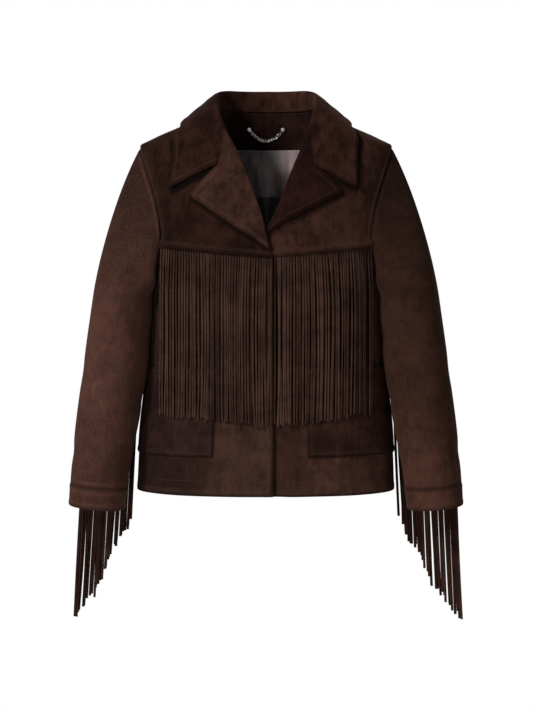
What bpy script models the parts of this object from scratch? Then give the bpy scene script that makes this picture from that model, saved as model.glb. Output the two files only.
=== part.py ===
"""Fringed suede jacket in its worn, hollow form.

Metres, +Z up.  The front faces -Y and +X is the wearer's left.  Height 0 is where the
shoulder seams meet the neck, and x = 0 is the centre line.  Each cut piece of suede is
an open grid of points on the body, a sleeve or the collar, given its wall by Solidify.
A side is -1 for the wearer's right and +1 for the wearer's left.
"""
import math
from collections import namedtuple

import bpy
from mathutils import Vector
from mathutils.bvhtree import BVHTree

RIGHT, LEFT = -1, 1
SIDES = ((RIGHT, "right"), (LEFT, "left"))
UP = Vector((0.0, 0.0, 1.0))

# ---- driving dimensions --------------------------------------------------------
SUEDE = 0.0016              # wall of body, sleeves and lapels
COLLAR_WALL = 0.0018
POCKET_WALL = 0.0014
FRINGE_WALL = 0.0011
LINING_WALL = 0.0010
LAYER_GAP = 0.0004          # between cloth lying on cloth
ROLL_GAP = 0.0006           # between the rolled edge of a collar or lapel and the panel under it
SEAM_SETBACK = 0.0002       # each edge of a seam stands back by this much

HEM = -0.623
UNDERARM = -0.275
SHOULDER_TIP = -0.065
YOKE_SEAM_CENTRE = -0.247   # height of the yoke seam at the closing edge
YOKE_LAP = 0.005            # the yoke lies this far over the front and the fringe
CLOSING_X = {RIGHT: 0.0110, LEFT: -0.0150}      # the right front lies over the left
UNDERLAP_DEPTH, UNDERLAP_END_X = 0.0074, 0.044
POCKET_BOTTOM, POCKET_TOP = -0.562, -0.420

# Rings of the body, from the hem up; depths are measured from the shoulder line.
BodyRing = namedtuple("BodyRing", "height half_width front_depth back_depth")
BODY_RINGS = (
    BodyRing(-0.623, 0.2090, 0.1250, 0.1200),
    BodyRing(-0.535, 0.2050, 0.1210, 0.1120),
    BodyRing(-0.400, 0.1920, 0.1180, 0.1030),
    BodyRing(-0.310, 0.1900, 0.1185, 0.1070),
    BodyRing(-0.270, 0.1980, 0.1220, 0.1130),
    BodyRing(-0.190, 0.2015, 0.1220, 0.1160),
    BodyRing(-0.137, 0.2025, 0.1120, 0.1130),
    BodyRing(-0.065, 0.2035, 0.0850, 0.0960),
    BodyRing(-0.052, 0.1820, 0.0822, 0.0925),
    BodyRing(-0.030, 0.1325, 0.0765, 0.0850),
    BodyRing(0.0000, 0.0800, 0.0700, 0.0750),
)
RING_POWER = 2.2            # 2 would be an ellipse

# The armhole is an oval in angle and height, hollowed towards the centre.
ARMHOLE_SCOOP = {"front": 33.0, "back": 27.0}   # degrees
ARMHOLE_SKEW = 0.35         # the front is hollowed most below the middle
ARMHOLE_SQUARE = 0.75       # under 1 squares the lower front of the oval
YOKE_TURN = 124.0           # where the yoke seam meets the armhole, from the shoulder
YOKE_STEPS, FRONT_STEPS, BACK_STEPS = 8, 5, 11

# Inner edge of each yoke: from the break, up under the lapel's roll, to the neck.
NeckPoint = namedtuple("NeckPoint", "x height")
NECK_EDGE = {
    RIGHT: (
        NeckPoint(0.0110, -0.2470), NeckPoint(0.0065, -0.2390), NeckPoint(0.0010, -0.2240),
        NeckPoint(-0.0055, -0.1920), NeckPoint(-0.0235, -0.1380), NeckPoint(-0.0470, -0.0800),
        NeckPoint(-0.0655, -0.0440), NeckPoint(-0.0750, -0.0200), NeckPoint(-0.0795, -0.0060),
        NeckPoint(-0.0800, 0.0),
    ),
    LEFT: (
        NeckPoint(-0.0150, -0.2470), NeckPoint(-0.0110, -0.2340), NeckPoint(-0.0040, -0.2150),
        NeckPoint(0.0080, -0.1930), NeckPoint(0.0250, -0.1560), NeckPoint(0.0390, -0.1190),
        NeckPoint(0.0600, -0.0680), NeckPoint(0.0700, -0.0430), NeckPoint(0.0765, -0.0200),
        NeckPoint(0.0795, -0.0060), NeckPoint(0.0800, 0.0),
    ),
}
GORGE_HEIGHT = -0.0440      # where the collar's fold becomes the lapel's roll

# The notch between collar and lapel, and the two points beside it.
Notch = namedtuple("Notch", "inner_x inner_height lapel_x lapel_height")
NOTCH = {
    RIGHT: Notch(-0.0755, -0.1005, -0.1205, -0.1485),
    LEFT: Notch(0.0740, -0.1020, 0.1205, -0.1430),
}
# Lower edge of each lapel, from its tip towards the break.
LAPEL_EDGE = {
    RIGHT: (NeckPoint(-0.1205, -0.1485), NeckPoint(-0.0510, -0.1960), NeckPoint(-0.0160, -0.2180),
            NeckPoint(-0.0055, -0.2245)),
    LEFT: (NeckPoint(0.1205, -0.1430), NeckPoint(0.0630, -0.1727), NeckPoint(0.0200, -0.1955),
           NeckPoint(0.0085, -0.2017)),
}
LAPEL_TOP_SWELL = {RIGHT: 0.0010, LEFT: 0.0025}     # fullness of its top edge
LAPEL_FOOT = {RIGHT: -0.2320, LEFT: -0.2085}    # height at which each roll ends
LAPEL_ROLL_LIFT, LAPEL_FOOT_LIFT, LAPEL_EDGE_LIFT = 0.0075, 0.0046, 0.0068
NOTCH_LIFT = 0.0066

# Outer edge of the collar's fall, from its point (share 0) to the centre back (1).
CollarEdge = namedtuple("CollarEdge", "share angle left_angle height lift")
COLLAR_EDGE = (
    CollarEdge(0.00, 46.3, 42.0, -0.1375, 0.0100),
    CollarEdge(0.14, 43.6, 42.4, -0.0820, 0.0085),
    CollarEdge(0.27, 50.3, 50.3, -0.0490, 0.0060),
    CollarEdge(0.335, 66.0, 66.0, -0.0385, 0.0050),
    CollarEdge(0.40, 90.0, 90.0, -0.0322, 0.0050),
    CollarEdge(0.55, 118.0, 118.0, -0.0370, 0.0048),
    CollarEdge(0.75, 148.0, 148.0, -0.0440, 0.0045),
    CollarEdge(1.00, 180.0, 180.0, -0.0480, 0.0045),
)
# Height of the fold over the neck seam, from the gorge to the centre back.
CollarFold = namedtuple("CollarFold", "share height")
COLLAR_FOLD = (CollarFold(0.0, LAPEL_ROLL_LIFT), CollarFold(0.15, 0.0105),
               CollarFold(0.30, 0.0165), CollarFold(0.40, 0.0220), CollarFold(0.50, 0.0275),
               CollarFold(0.70, 0.0330), CollarFold(1.0, 0.0340))
COLLAR_SWELL = 0.028        # fullness of the fall between its fold and its edge
COLLAR_SHOULDER_SHARE = 0.40

# Rings of the sleeve, from the biceps down; x is measured outwards.
SleeveRing = namedtuple("SleeveRing", "height x y half_width half_depth turn slope")
SLEEVE_RINGS = (
    SleeveRing(-0.6440, 0.2718, -0.0700, 0.0440, 0.0480, 8.0, 0.100),
    SleeveRing(-0.5900, 0.2668, -0.0640, 0.0460, 0.0510, 9.0, 0.090),
    SleeveRing(-0.5300, 0.2588, -0.0570, 0.0488, 0.0555, 11.0, 0.070),
    SleeveRing(-0.4749, 0.2502, -0.0510, 0.0508, 0.0590, 12.0, 0.055),
    SleeveRing(-0.3947, 0.2390, -0.0420, 0.0512, 0.0650, 13.0, 0.035),
    SleeveRing(-0.3136, 0.2286, -0.0320, 0.0500, 0.0700, 14.0, 0.000),
)
BICEPS = -0.3136
# Direction in which the sleeve leaves the armhole, round it; x is outwards.
SleeveLeave = namedtuple("SleeveLeave", "turn x y z")
SLEEVE_LEAVES = (SleeveLeave(0.0, 0.48, 0.0, -0.88), SleeveLeave(80.0, 0.48, 0.0, -0.88),
                 SleeveLeave(145.0, 0.06, -0.45, -0.89), SleeveLeave(180.0, 0.25, -0.30, -0.92),
                 SleeveLeave(215.0, 0.60, -0.06, -0.80), SleeveLeave(290.0, 0.62, 0.0, -0.78),
                 SleeveLeave(360.0, 0.48, 0.0, -0.88))
# Fullness of the sleeve's head at the front of the armhole.
HEAD_SWELL_TURN, HEAD_SWELL_WIDE, HEAD_SWELL_IN, HEAD_SWELL_OUT = 150.0, 26.0, 0.0120, 0.0060
SLEEVE_CAP_ROWS, SLEEVE_ARM_ROWS, CUFF_ROWS = 6, 8, 2
CUFF_SEAM, CUFF_END = -0.6110, -0.6440
CUFF_PROUD = 0.0006
BODY_CLEARANCE = 0.0030     # least room between sleeve and body

# Soft folds of the sleeve: a dent across it, at an angle round it from the outside.
SleeveFold = namedtuple("SleeveFold", "height turn depth tall wide")
SLEEVE_FOLDS = (
    SleeveFold(-0.372, 150.0, 0.0035, 0.016, 55.0),
    SleeveFold(-0.430, 60.0, 0.0022, 0.020, 45.0),
    SleeveFold(-0.470, 170.0, 0.0030, 0.018, 50.0),
    SleeveFold(-0.560, 30.0, 0.0018, 0.016, 50.0),
)

FRINGE_DROP = 0.265         # length of the front fringe below the yoke's edge
FRINGE_PITCH = 0.00425
FRINGE_WIDTH = 0.0032
FRINGE_SPAN = {RIGHT: (-0.1675, 0.0102), LEFT: (0.0122, 0.1675)}
FRINGE_TIP_LIFT = 0.0046    # the tips hang clear of the pockets
ARM_FRINGE_DROP = 0.275
ARM_FRINGE_PITCH = 0.0034
ARM_FRINGE_WIDTH = 0.0026
ARM_FRINGE_STRIP = 0.006
ARM_FRINGE_SPLAY = {RIGHT: 0.062, LEFT: 0.048}      # sideways run of a strand for each unit of drop
ARM_FRINGE_REACH = {RIGHT: 0.0, LEFT: 0.0085}       # how much further out its last strand hangs
# The seam that carries it, across the back of the sleeve; x is measured outwards.
ArmSeam = namedtuple("ArmSeam", "x height")
ARM_SEAM = (ArmSeam(0.2065, -0.3990), ArmSeam(0.2148, -0.4190),
            ArmSeam(0.2386, -0.4580), ArmSeam(0.2600, -0.5105), ArmSeam(0.2780, -0.5335),
            ArmSeam(0.2990, -0.5590))

STUD_X, STUD_HEIGHT = 0.0287, -0.0268
STUD_RADIUS, STUD_DEPTH = 0.0032, 0.0024
CHAIN_RADIUS, CHAIN_SAG = 0.0014, 0.0185
LABEL_TOP, LABEL_BOTTOM, LABEL_HALF_WIDTH = -0.1400, -0.2040, 0.0240
FACING_DEPTH_CENTRE, FACING_DEPTH_SIDE = -0.0616, -0.0360
LINING_TOP_ROW = -0.075      # the last of the back's rows that the lining follows

# name: colour, roughness, metallic
FINISHES = {
    "brown_suede": ((0.050, 0.020, 0.013, 1.0), 0.95, 0.0),
    "satin_lining": ((0.060, 0.045, 0.045, 1.0), 0.45, 0.0),
    "black_label": ((0.006, 0.006, 0.006, 1.0), 0.60, 0.0),
    "bright_steel": ((0.75, 0.75, 0.76, 1.0), 0.20, 1.0),
}


# ---- curves and tables ---------------------------------------------------------
def smooth_value(places, values, place):
    """Value at a place on the smooth, never overshooting curve through a table."""
    place = min(max(place, places[0]), places[-1])
    rises = [(values[k + 1] - values[k]) / (places[k + 1] - places[k])
             for k in range(len(places) - 1)]

    def slope(k):
        if k in (0, len(rises)):
            return rises[min(k, len(rises) - 1)]
        before, after = rises[k - 1], rises[k]
        return 0.0 if before * after <= 0.0 else 2.0 * before * after / (before + after)

    k = max(i for i in range(len(rises)) if places[i] <= place)
    run = places[k + 1] - places[k]
    return hermite(values[k], values[k + 1], slope(k) * run, slope(k + 1) * run,
                   (place - places[k]) / run)


def hermite(start, end, leaving, arriving, t):
    return (start * (2 * t**3 - 3 * t**2 + 1) + leaving * (t**3 - 2 * t**2 + t)
            + end * (3 * t**2 - 2 * t**3) + arriving * (t**3 - t**2))


def column(table, name, by, place):
    """One named column of a table, read at a place in another column."""
    return smooth_value([getattr(row, by) for row in table],
                        [getattr(row, name) for row in table], place)


def ease(value, start, end):
    """0 at start, 1 at end, smooth between."""
    t = min(max((value - start) / (end - start), 0.0), 1.0)
    return t * t * (3.0 - 2.0 * t)


def mix(a, b, t):
    return a + (b - a) * t


def curve_through(points, share):
    """Point at a share of the length of the smooth curve through the points."""
    points = [Vector(point) for point in points]
    places = [0.0]
    for before, after in zip(points, points[1:]):
        places.append(places[-1] + (after - before).length)
    return Vector([smooth_value(places, [point[i] for point in points], share * places[-1])
                   for i in range(len(points[0]))])


# ---- the body's form -----------------------------------------------------------
def body_surface(angle, height):
    """Inside of the body's cloth; angle 0 is centre front, +90 the wearer's left side."""
    half_width = column(BODY_RINGS, "half_width", "height", height)
    sine, cosine = math.sin(math.radians(angle)), math.cos(math.radians(angle))
    depth = column(BODY_RINGS, "front_depth" if cosine > 0.0 else "back_depth", "height", height)
    return Vector((half_width * math.copysign(abs(sine) ** (2 / RING_POWER), sine),
                   -depth * math.copysign(abs(cosine) ** (2 / RING_POWER), cosine),
                   height))


def body_normal(angle, height):
    around = body_surface(angle + 0.5, height) - body_surface(angle - 0.5, height)
    up = body_surface(angle, height + 0.001) - body_surface(angle, height - 0.001)
    return around.cross(up).normalized()


def underlap(x):
    """How far the left front is set in where it passes under the right front."""
    return UNDERLAP_DEPTH * (1.0 - ease(x, CLOSING_X[RIGHT] + 0.003, UNDERLAP_END_X))


def body_point(angle, height, lift=0.0, side=RIGHT):
    point = body_surface(angle, height)
    if side == LEFT and abs(angle) < 90.0:
        lift -= underlap(point.x)
    return point + body_normal(angle, height) * lift


def angle_at(x, height):
    """Angle round the front at which the body has this x."""
    share = min(abs(x) / column(BODY_RINGS, "half_width", "height", height), 1.0)
    return math.copysign(math.degrees(math.asin(share ** (RING_POWER / 2))), x)


def front_point(x, height, lift, side):
    return body_point(angle_at(x, height), height, lift, side)


def armhole(side, turn):
    """Angle and height on the armhole; turn 0 is the shoulder, 90 front, 180 underarm."""
    cosine, sine = math.cos(math.radians(turn)), math.sin(math.radians(turn))
    scoop = ARMHOLE_SCOOP["front" if turn <= 180.0 else "back"]
    if 90.0 < turn < 180.0:
        sine = sine ** ARMHOLE_SQUARE
    height = mix(UNDERARM, SHOULDER_TIP, 0.5 + 0.5 * cosine)
    return side * (90.0 - scoop * sine * (1.0 - ARMHOLE_SKEW * cosine)), height


def turns_between(start, end, steps):
    return [mix(start, end, k / steps) for k in range(steps + 1)]


def neck_edge(side, share):
    """x and height on the yoke's inner edge; 0 is the break and 1 the shoulder seam."""
    return curve_through(NECK_EDGE[side], share)


def neck_share(side, height):
    """Share of the neck edge at a height, by halving."""
    low, high = 0.0, 1.0
    for _ in range(30):
        middle = (low + high) / 2
        if neck_edge(side, middle)[1] < height:
            low = middle
        else:
            high = middle
    return low


# ---- meshes --------------------------------------------------------------------
def make_finish(name):
    colour, roughness, metallic = FINISHES[name]
    finish = bpy.data.materials.new(name)
    finish.use_nodes = True
    shader = finish.node_tree.nodes["Principled BSDF"]
    shader.inputs["Base Color"].default_value = colour
    shader.inputs["Roughness"].default_value = roughness
    shader.inputs["Metallic"].default_value = metallic
    return finish


def place_in_jacket(piece, finish):
    for collection in list(piece.users_collection):
        collection.objects.unlink(piece)
    bpy.data.collections["fringed_jacket"].objects.link(piece)
    piece.data.materials.append(bpy.data.materials[finish])
    return piece


def set_back(rows, closed=False, amount=SEAM_SETBACK):
    """Draw the outer edges of a grid inwards, which leaves the gap of a seam."""
    def drawn(edge, inner):
        return [p + (q - p).normalized() * amount for p, q in zip(edge, inner)]

    rows = [list(row) for row in rows]
    rows[0], rows[-1] = drawn(rows[0], rows[1]), drawn(rows[-1], rows[-2])
    if not closed:
        for row in rows:
            row[0] += (row[1] - row[0]).normalized() * amount
            row[-1] += (row[-2] - row[-1]).normalized() * amount
    return rows


def split_short(points, face):
    """Two triangles of a four-sided face, split along its shorter diagonal."""
    a, b, c, d = face
    if (points[a] - points[c]).length < (points[b] - points[d]).length:
        return [(a, b, c), (a, c, d)]
    return [(a, b, d), (b, c, d)]


def cloth(name, rows, wall, finish, outward=True, closed=False, flip=False, even=True):
    """A cut piece: a grid of points, its wall laid outside or inside them."""
    across = len(rows[0])
    points = [point for row in rows for point in row]
    faces = []
    for r in range(len(rows) - 1):
        for c in range(across if closed else across - 1):
            face = (r * across + c, r * across + (c + 1) % across,
                    (r + 1) * across + (c + 1) % across, (r + 1) * across + c)
            faces += split_short(points, face[::-1] if flip else face)
    mesh = bpy.data.meshes.new(name)
    mesh.from_pydata(points, [], faces)
    mesh.shade_smooth()
    piece = place_in_jacket(bpy.data.objects.new(name, mesh), finish)
    solidify = piece.modifiers.new("wall", "SOLIDIFY")
    solidify.thickness = wall
    solidify.offset = 1.0 if outward else -1.0
    solidify.use_even_offset = even
    return piece


# ---- body panels ---------------------------------------------------------------
SIDE_HEIGHTS = (HEM, -0.592, POCKET_BOTTOM, -0.520, -0.470, POCKET_TOP, -0.370, -0.322, UNDERARM)
POCKET_ROWS = (SIDE_HEIGHTS.index(POCKET_BOTTOM), SIDE_HEIGHTS.index(POCKET_TOP))
FRONT_COLUMNS = {       # degrees from the side seam round to the closing edge
    RIGHT: (90.0, 79.0, 68.0, 56.0, 44.0, 32.0, 21.4, 11.0, 4.0),
    LEFT: (90.0, 79.0, 68.0, 56.0, 42.0, 29.0, 16.3, 12.5, 9.0, 6.0, 3.5, 0.5),
}
POCKET_COLUMNS = 6
BACK_COLUMNS = 14


def front_side_edge(side):
    """Angle and height up the side seam and the armhole to the yoke seam."""
    seam = [(side * 90.0, height) for height in SIDE_HEIGHTS]
    return seam + [armhole(side, turn) for turn in turns_between(180.0, YOKE_TURN, FRONT_STEPS)[1:]]


def front_centre_heights():
    level = [height for height in SIDE_HEIGHTS if height <= POCKET_TOP]
    steps = len(SIDE_HEIGHTS) + FRONT_STEPS - len(level)
    return level + [mix(POCKET_TOP, YOKE_SEAM_CENTRE, (k + 1) / steps) for k in range(steps)]


def front_shares(side):
    centre = side * angle_at(CLOSING_X[side], HEM)
    return [(90.0 - angle) / (90.0 - centre) for angle in FRONT_COLUMNS[side]] + [1.0]


def front_rows(side, lift=0.0):
    """Rows from the hem up, each from the side seam to the closing edge."""
    rows = []
    for (side_angle, side_height), centre_height in zip(front_side_edge(side),
                                                        front_centre_heights()):
        centre_angle = angle_at(CLOSING_X[side], centre_height)
        rows.append([body_point(mix(side_angle, centre_angle, share),
                                mix(side_height, centre_height, share), lift, side)
                     for share in front_shares(side)])
    return rows


def yoke_rows(side, lift=0.0):
    """Rows from the yoke seam up to the shoulder seam, on the front's own columns."""
    rows = []
    for k, turn in enumerate(turns_between(YOKE_TURN, 0.0, YOKE_STEPS)):
        arm_angle, arm_height = armhole(side, turn)
        neck_x, neck_height = neck_edge(side, k / YOKE_STEPS)
        neck_angle = side * 90.0 if k == YOKE_STEPS else angle_at(neck_x, neck_height)
        rows.append([body_point(mix(arm_angle, neck_angle, share),
                                mix(arm_height, neck_height, share), lift, side)
                     for share in front_shares(side)])
    return rows


def beyond(row, next_row, distance):
    """The row at a distance from one row towards the next."""
    return [point + (other - point).normalized() * distance
            for point, other in zip(row, next_row)]


def make_fronts():
    for side, word in SIDES:
        rows = front_rows(side)
        yoke = yoke_rows(side)
        rows.append(beyond(rows[-1], yoke[1], YOKE_LAP))
        cloth("front_" + word, set_back(rows), SUEDE, "brown_suede", flip=side == LEFT)


def make_yokes():
    raised = SUEDE + FRINGE_WALL + 4 * LAYER_GAP
    for side, word in SIDES:
        rows = yoke_rows(side)
        over = yoke_rows(side, raised)
        lap = [over[0], beyond(over[0], over[1], YOKE_LAP + 0.001),
               beyond(rows[0], rows[1], YOKE_LAP + 0.007)]
        cloth("yoke_" + word, set_back(lap + rows[1:]), SUEDE, "brown_suede",
              flip=side == LEFT)


def back_row(angle, height, lift=0.0):
    return [body_point(mix(angle, 360.0 - angle, c / BACK_COLUMNS), height, lift)
            for c in range(BACK_COLUMNS + 1)]


def back_edge():
    """Angle and height up the left side seam, the armhole and the shoulder seam."""
    edge = [(90.0, height) for height in SIDE_HEIGHTS]
    edge += [armhole(LEFT, turn) for turn in turns_between(180.0, 360.0, BACK_STEPS)[1:]]
    return edge + [(90.0, SHOULDER_TIP * (1.0 - k / 5)) for k in range(1, 6)]


def make_back():
    rows = [back_row(angle, height) for angle, height in back_edge()]
    cloth("back", set_back(rows), SUEDE, "brown_suede")


def make_pockets():
    """Each pocket is its front's own points, moved out from it."""
    for side, word in SIDES:
        rows = front_rows(side, SUEDE + LAYER_GAP)[POCKET_ROWS[0]:POCKET_ROWS[1] + 1]
        rows = [row[:POCKET_COLUMNS + 1] for row in rows]
        rows = set_back(rows, amount=0.0008)
        cloth("pocket_" + word, rows, POCKET_WALL, "brown_suede", flip=side == LEFT)


# ---- collar and lapels ---------------------------------------------------------
def off_edge(before, after, normal, inward):
    """Unit direction off the edge, towards the opening, at right angles to the edge."""
    off = (after - before).cross(normal).normalized()
    return off if off.dot(inward) > 0.0 else -off


def rolled_edge(point, stand, off, height, wall):
    """Three points that carry a fold up and over an edge, and the top of the fold."""
    reach = wall + ROLL_GAP
    return [point + off * reach - stand * 0.0004,
            point + off * (reach + 0.0004) + stand * (0.45 * height),
            point + off * (reach - 0.0006) + stand * (0.85 * height),
            point + off * (reach - 0.0026) + stand * height]


def gorge_point(side, share):
    """Seam between collar and lapel, from the roll (0) to the notch (1)."""
    roll_x, roll_height = neck_edge(side, neck_share(side, GORGE_HEIGHT))
    notch = NOTCH[side]
    return front_point(mix(roll_x, notch.inner_x, share), mix(roll_height, notch.inner_height, share),
                       mix(LAPEL_ROLL_LIFT, NOTCH_LIFT, share), side)


GORGE_SHARES = (1 / 3, 2 / 3, 1.0)
OUTER_SHARES = (0.15, 0.30, 0.45, 0.62, 0.82, 1.0)  # the first three lie on the gorge


def lapel_end_row(side, top):
    """The lapel's top edge: along the gorge to the notch, then out to the tip."""
    notch = NOTCH[side]
    row = [top] + [gorge_point(side, share) for share in GORGE_SHARES]
    for share in OUTER_SHARES[3:]:
        t = (share - OUTER_SHARES[2]) / (1.0 - OUTER_SHARES[2])
        x, height = mix(notch.inner_x, notch.lapel_x, t), mix(notch.inner_height, notch.lapel_height, t)
        swell = LAPEL_TOP_SWELL[side] * math.sin(math.pi * t)
        row.append(front_point(x + side * 0.6 * swell, height + 0.8 * swell,
                               mix(NOTCH_LIFT, LAPEL_EDGE_LIFT, t), side))
    return row


def lapel_rows(side, steps=12):
    """Rows from the gorge down to the break; each runs over the roll to the edge."""
    top_share, foot_share = neck_share(side, GORGE_HEIGHT), neck_share(side, LAPEL_FOOT[side])
    rows = []
    for k in range(steps + 1):
        t = k / steps
        share = mix(top_share, foot_share, t)
        x, height = neck_edge(side, share)
        before, after = (front_point(*neck_edge(side, share + d), 0.0, side) for d in (-0.01, 0.01))
        point = front_point(x, height, 0.0, side)
        normal = body_normal(angle_at(x, height), height)
        off = off_edge(before, after, normal, Vector((-side, 0.0, 0.3)))
        roll_lift = mix(LAPEL_ROLL_LIFT, LAPEL_FOOT_LIFT, min(1.0, 2.0 * t))
        edge_lift = mix(LAPEL_EDGE_LIFT, LAPEL_FOOT_LIFT, t)
        fold = rolled_edge(point, normal, off, roll_lift, SUEDE)
        edge_x, edge_height = curve_through(LAPEL_EDGE[side], t)
        row = fold[:]
        for b in OUTER_SHARES:
            lift = edge_lift + (roll_lift - edge_lift) * (1.0 - b) ** 1.5
            row.append(front_point(mix(x, edge_x, b), mix(height, edge_height, b), lift, side))
        rows.append(row)
    top = lapel_end_row(side, rows[0][3])
    shift = [end - point for end, point in zip(top, rows[0][3:])]
    for k, row in enumerate(rows):
        fade = (1.0 - k / steps) ** 3
        for i, step in enumerate(shift):
            row[3 + i] = row[3 + i] + step * fade
    return rows


def make_lapels():
    for side, word in SIDES:
        cloth("lapel_" + word, set_back(lapel_rows(side), amount=0.0003), SUEDE, "brown_suede",
              outward=False, flip=side == RIGHT, even=False)


def collar_neck_point(side, share):
    """Angle and height of the neck seam, from the gorge (0) to the centre back (1)."""
    if share < COLLAR_SHOULDER_SHARE:
        start = neck_share(side, GORGE_HEIGHT)
        x, height = neck_edge(side, mix(start, 1.0, share / COLLAR_SHOULDER_SHARE))
        return angle_at(x, height), height
    t = (share - COLLAR_SHOULDER_SHARE) / (1.0 - COLLAR_SHOULDER_SHARE)
    return side * mix(90.0, 180.0, t), 0.0


def collar_section(side, share):
    """One section of the collar, from inside the neck, over the fold, to the edge."""
    angle, height = collar_neck_point(side, share)
    point = body_surface(angle, height)
    around = [body_surface(*collar_neck_point(side, min(max(share + d, 0.0), 1.0)))
              for d in (-0.01, 0.01)]
    if share > 0.99:
        around[1] = Vector((-around[0].x, around[0].y, around[0].z))
    upright = ease(share, 0.0, COLLAR_SHOULDER_SHARE)
    stand = body_normal(angle, height).lerp(UP, upright).normalized()
    inward = Vector((-side, 0.0, 0.3)) if share < 0.2 else Vector((-point.x, -point.y, 0.0))
    off = off_edge(around[0], around[1], stand, inward)
    fold_height = column(COLLAR_FOLD, "height", "share", share)
    section = rolled_edge(point, stand, off, fold_height, COLLAR_WALL)
    fold = section[-1]
    angle_name = "angle" if side == RIGHT else "left_angle"
    edge = body_point(side * column(COLLAR_EDGE, angle_name, "share", share),
                      column(COLLAR_EDGE, "height", "share", share),
                      column(COLLAR_EDGE, "lift", "share", share))
    for w in OUTER_SHARES:
        section.append(fold.lerp(edge, w) + stand * (COLLAR_SWELL * upright * w * (1.0 - w)))
    return section


def collar_end_row(side, top, edge):
    row = [top] + [gorge_point(side, share) for share in GORGE_SHARES]
    notch = row[-1]
    for share in OUTER_SHARES[3:]:
        row.append(notch.lerp(edge, (share - OUTER_SHARES[2]) / (1.0 - OUTER_SHARES[2])))
    return row


def push_off(point, form, clearance):
    """Move a point out until it stands clear of a form, easing into the push."""
    place, normal, _, _ = form.find_nearest(point)
    away = (point - place).dot(normal)
    soft = 0.0015
    wanted = clearance + 0.5 * (away - clearance + math.hypot(away - clearance, soft))
    return point + normal * (wanted - away)


def body_form():
    """The whole outside of the body, used to keep other cloth clear of it."""
    angles = [k * 6.0 for k in range(60)]
    heights = [mix(HEM - 0.03, 0.0, k / 44) for k in range(45)]
    points = [body_surface(angle, height) + body_normal(angle, height) * SUEDE
              for height in heights for angle in angles]
    count = len(angles)
    faces = [(r * count + c, r * count + (c + 1) % count,
              (r + 1) * count + (c + 1) % count, (r + 1) * count + c)
             for r in range(len(heights) - 1) for c in range(count)]
    return BVHTree.FromPolygons(points, faces)


def half_collar(side, body, steps=13):
    sections = [collar_section(side, k / steps) for k in range(steps + 1)]
    end = collar_end_row(side, sections[0][3], sections[0][-1])
    shift = [target - point for target, point in zip(end, sections[0][3:])]
    for k, section in enumerate(sections):
        fade = (1.0 - k / steps) ** 4
        for i, step in enumerate(shift):
            section[3 + i] = section[3 + i] + step * fade
        for i in range(4, len(section)):
            section[i] = push_off(section[i], body, COLLAR_WALL + 0.0016)
    return sections


def make_collar(body):
    right, left = half_collar(RIGHT, body), half_collar(LEFT, body)
    sections = right + left[-2::-1]
    cloth("collar", set_back(sections, amount=0.0003), COLLAR_WALL, "brown_suede",
          outward=False, flip=True, even=False)


# ---- sleeves -------------------------------------------------------------------
def sleeve_turns():
    return (turns_between(0.0, YOKE_TURN, YOKE_STEPS)
            + turns_between(YOKE_TURN, 180.0, FRONT_STEPS)[1:]
            + turns_between(180.0, 360.0, BACK_STEPS)[1:-1])


def sleeve_fold(height, turn):
    total = 0.0
    for fold in SLEEVE_FOLDS:
        round_it = (turn - fold.turn + 180.0) % 360.0 - 180.0
        total += fold.depth * math.exp(-((height - fold.height) / fold.tall) ** 2
                                       - (round_it / fold.wide) ** 2)
    return total


def sleeve_point(side, height, turn, proud=0.0):
    """Outside of the sleeve; turn 0 is its outer side, 90 its front, 180 its inside."""
    ring = {name: column(SLEEVE_RINGS, name, "height", height)
            for name in SleeveRing._fields if name != "height"}
    tilt, around = math.radians(ring["turn"]), math.radians(turn)
    outward = Vector((side * math.cos(tilt), math.sin(tilt), 0.0))
    forward = Vector((side * math.sin(tilt), -math.cos(tilt), 0.0))
    proud -= sleeve_fold(height, turn)
    point = Vector((side * ring["x"], ring["y"], height))
    point += outward * (math.cos(around) * (ring["half_width"] + proud))
    point += forward * (math.sin(around) * (ring["half_depth"] + proud))
    point.z += ring["slope"] * ring["half_width"] * math.cos(around)
    return point


def sleeve_start(side, turn):
    """Edge of the sleeve at the armhole, just off the edge of the body's wall."""
    angle, height = armhole(side, turn)
    normal = body_normal(angle, height)
    edge = body_surface(angle, height) + normal * SUEDE
    middle = body_surface(side * 90.0, mix(UNDERARM, SHOULDER_TIP, 0.5))
    before, after = (body_surface(*armhole(side, turn + d)) for d in (-1.0, 1.0))
    off = off_edge(before, after, normal, middle - edge)
    leaving = Vector([column(SLEEVE_LEAVES, name, "turn", turn) for name in "xyz"]).normalized()
    leaving.x *= side
    drop, fold_back = max(0.0, -leaving.dot(normal)), max(0.0, -leaving.dot(off))
    gap = LAYER_GAP + SUEDE * drop
    return edge + off * gap + normal * (0.0005 * fold_back), leaving


def sleeve_rows(side, body):
    turns = sleeve_turns()
    rows = []
    for k in range(SLEEVE_CAP_ROWS):
        t = k / SLEEVE_CAP_ROWS
        row = []
        for turn in turns:
            start, leaving = sleeve_start(side, turn)
            end = sleeve_point(side, BICEPS, turn)
            down = (sleeve_point(side, BICEPS - 0.02, turn) - end).normalized()
            reach = (end - start).length
            point = hermite(start, end, leaving * reach, down * reach, t)
            swell = (math.sin(math.pi * t) ** 2
                     * math.exp(-((turn - HEAD_SWELL_TURN) / HEAD_SWELL_WIDE) ** 2))
            point += Vector((-side * HEAD_SWELL_IN, -HEAD_SWELL_OUT, 0.0)) * swell
            if k:
                point = push_off(point, body, BODY_CLEARANCE * ease(t, 0.0, 0.35))
            row.append(point)
        rows.append(row)
    for k in range(SLEEVE_ARM_ROWS + 1):
        height = mix(BICEPS, CUFF_SEAM, k / SLEEVE_ARM_ROWS)
        rows.append([push_off(sleeve_point(side, height, turn), body, BODY_CLEARANCE)
                     for turn in turns])
    return rows


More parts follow.
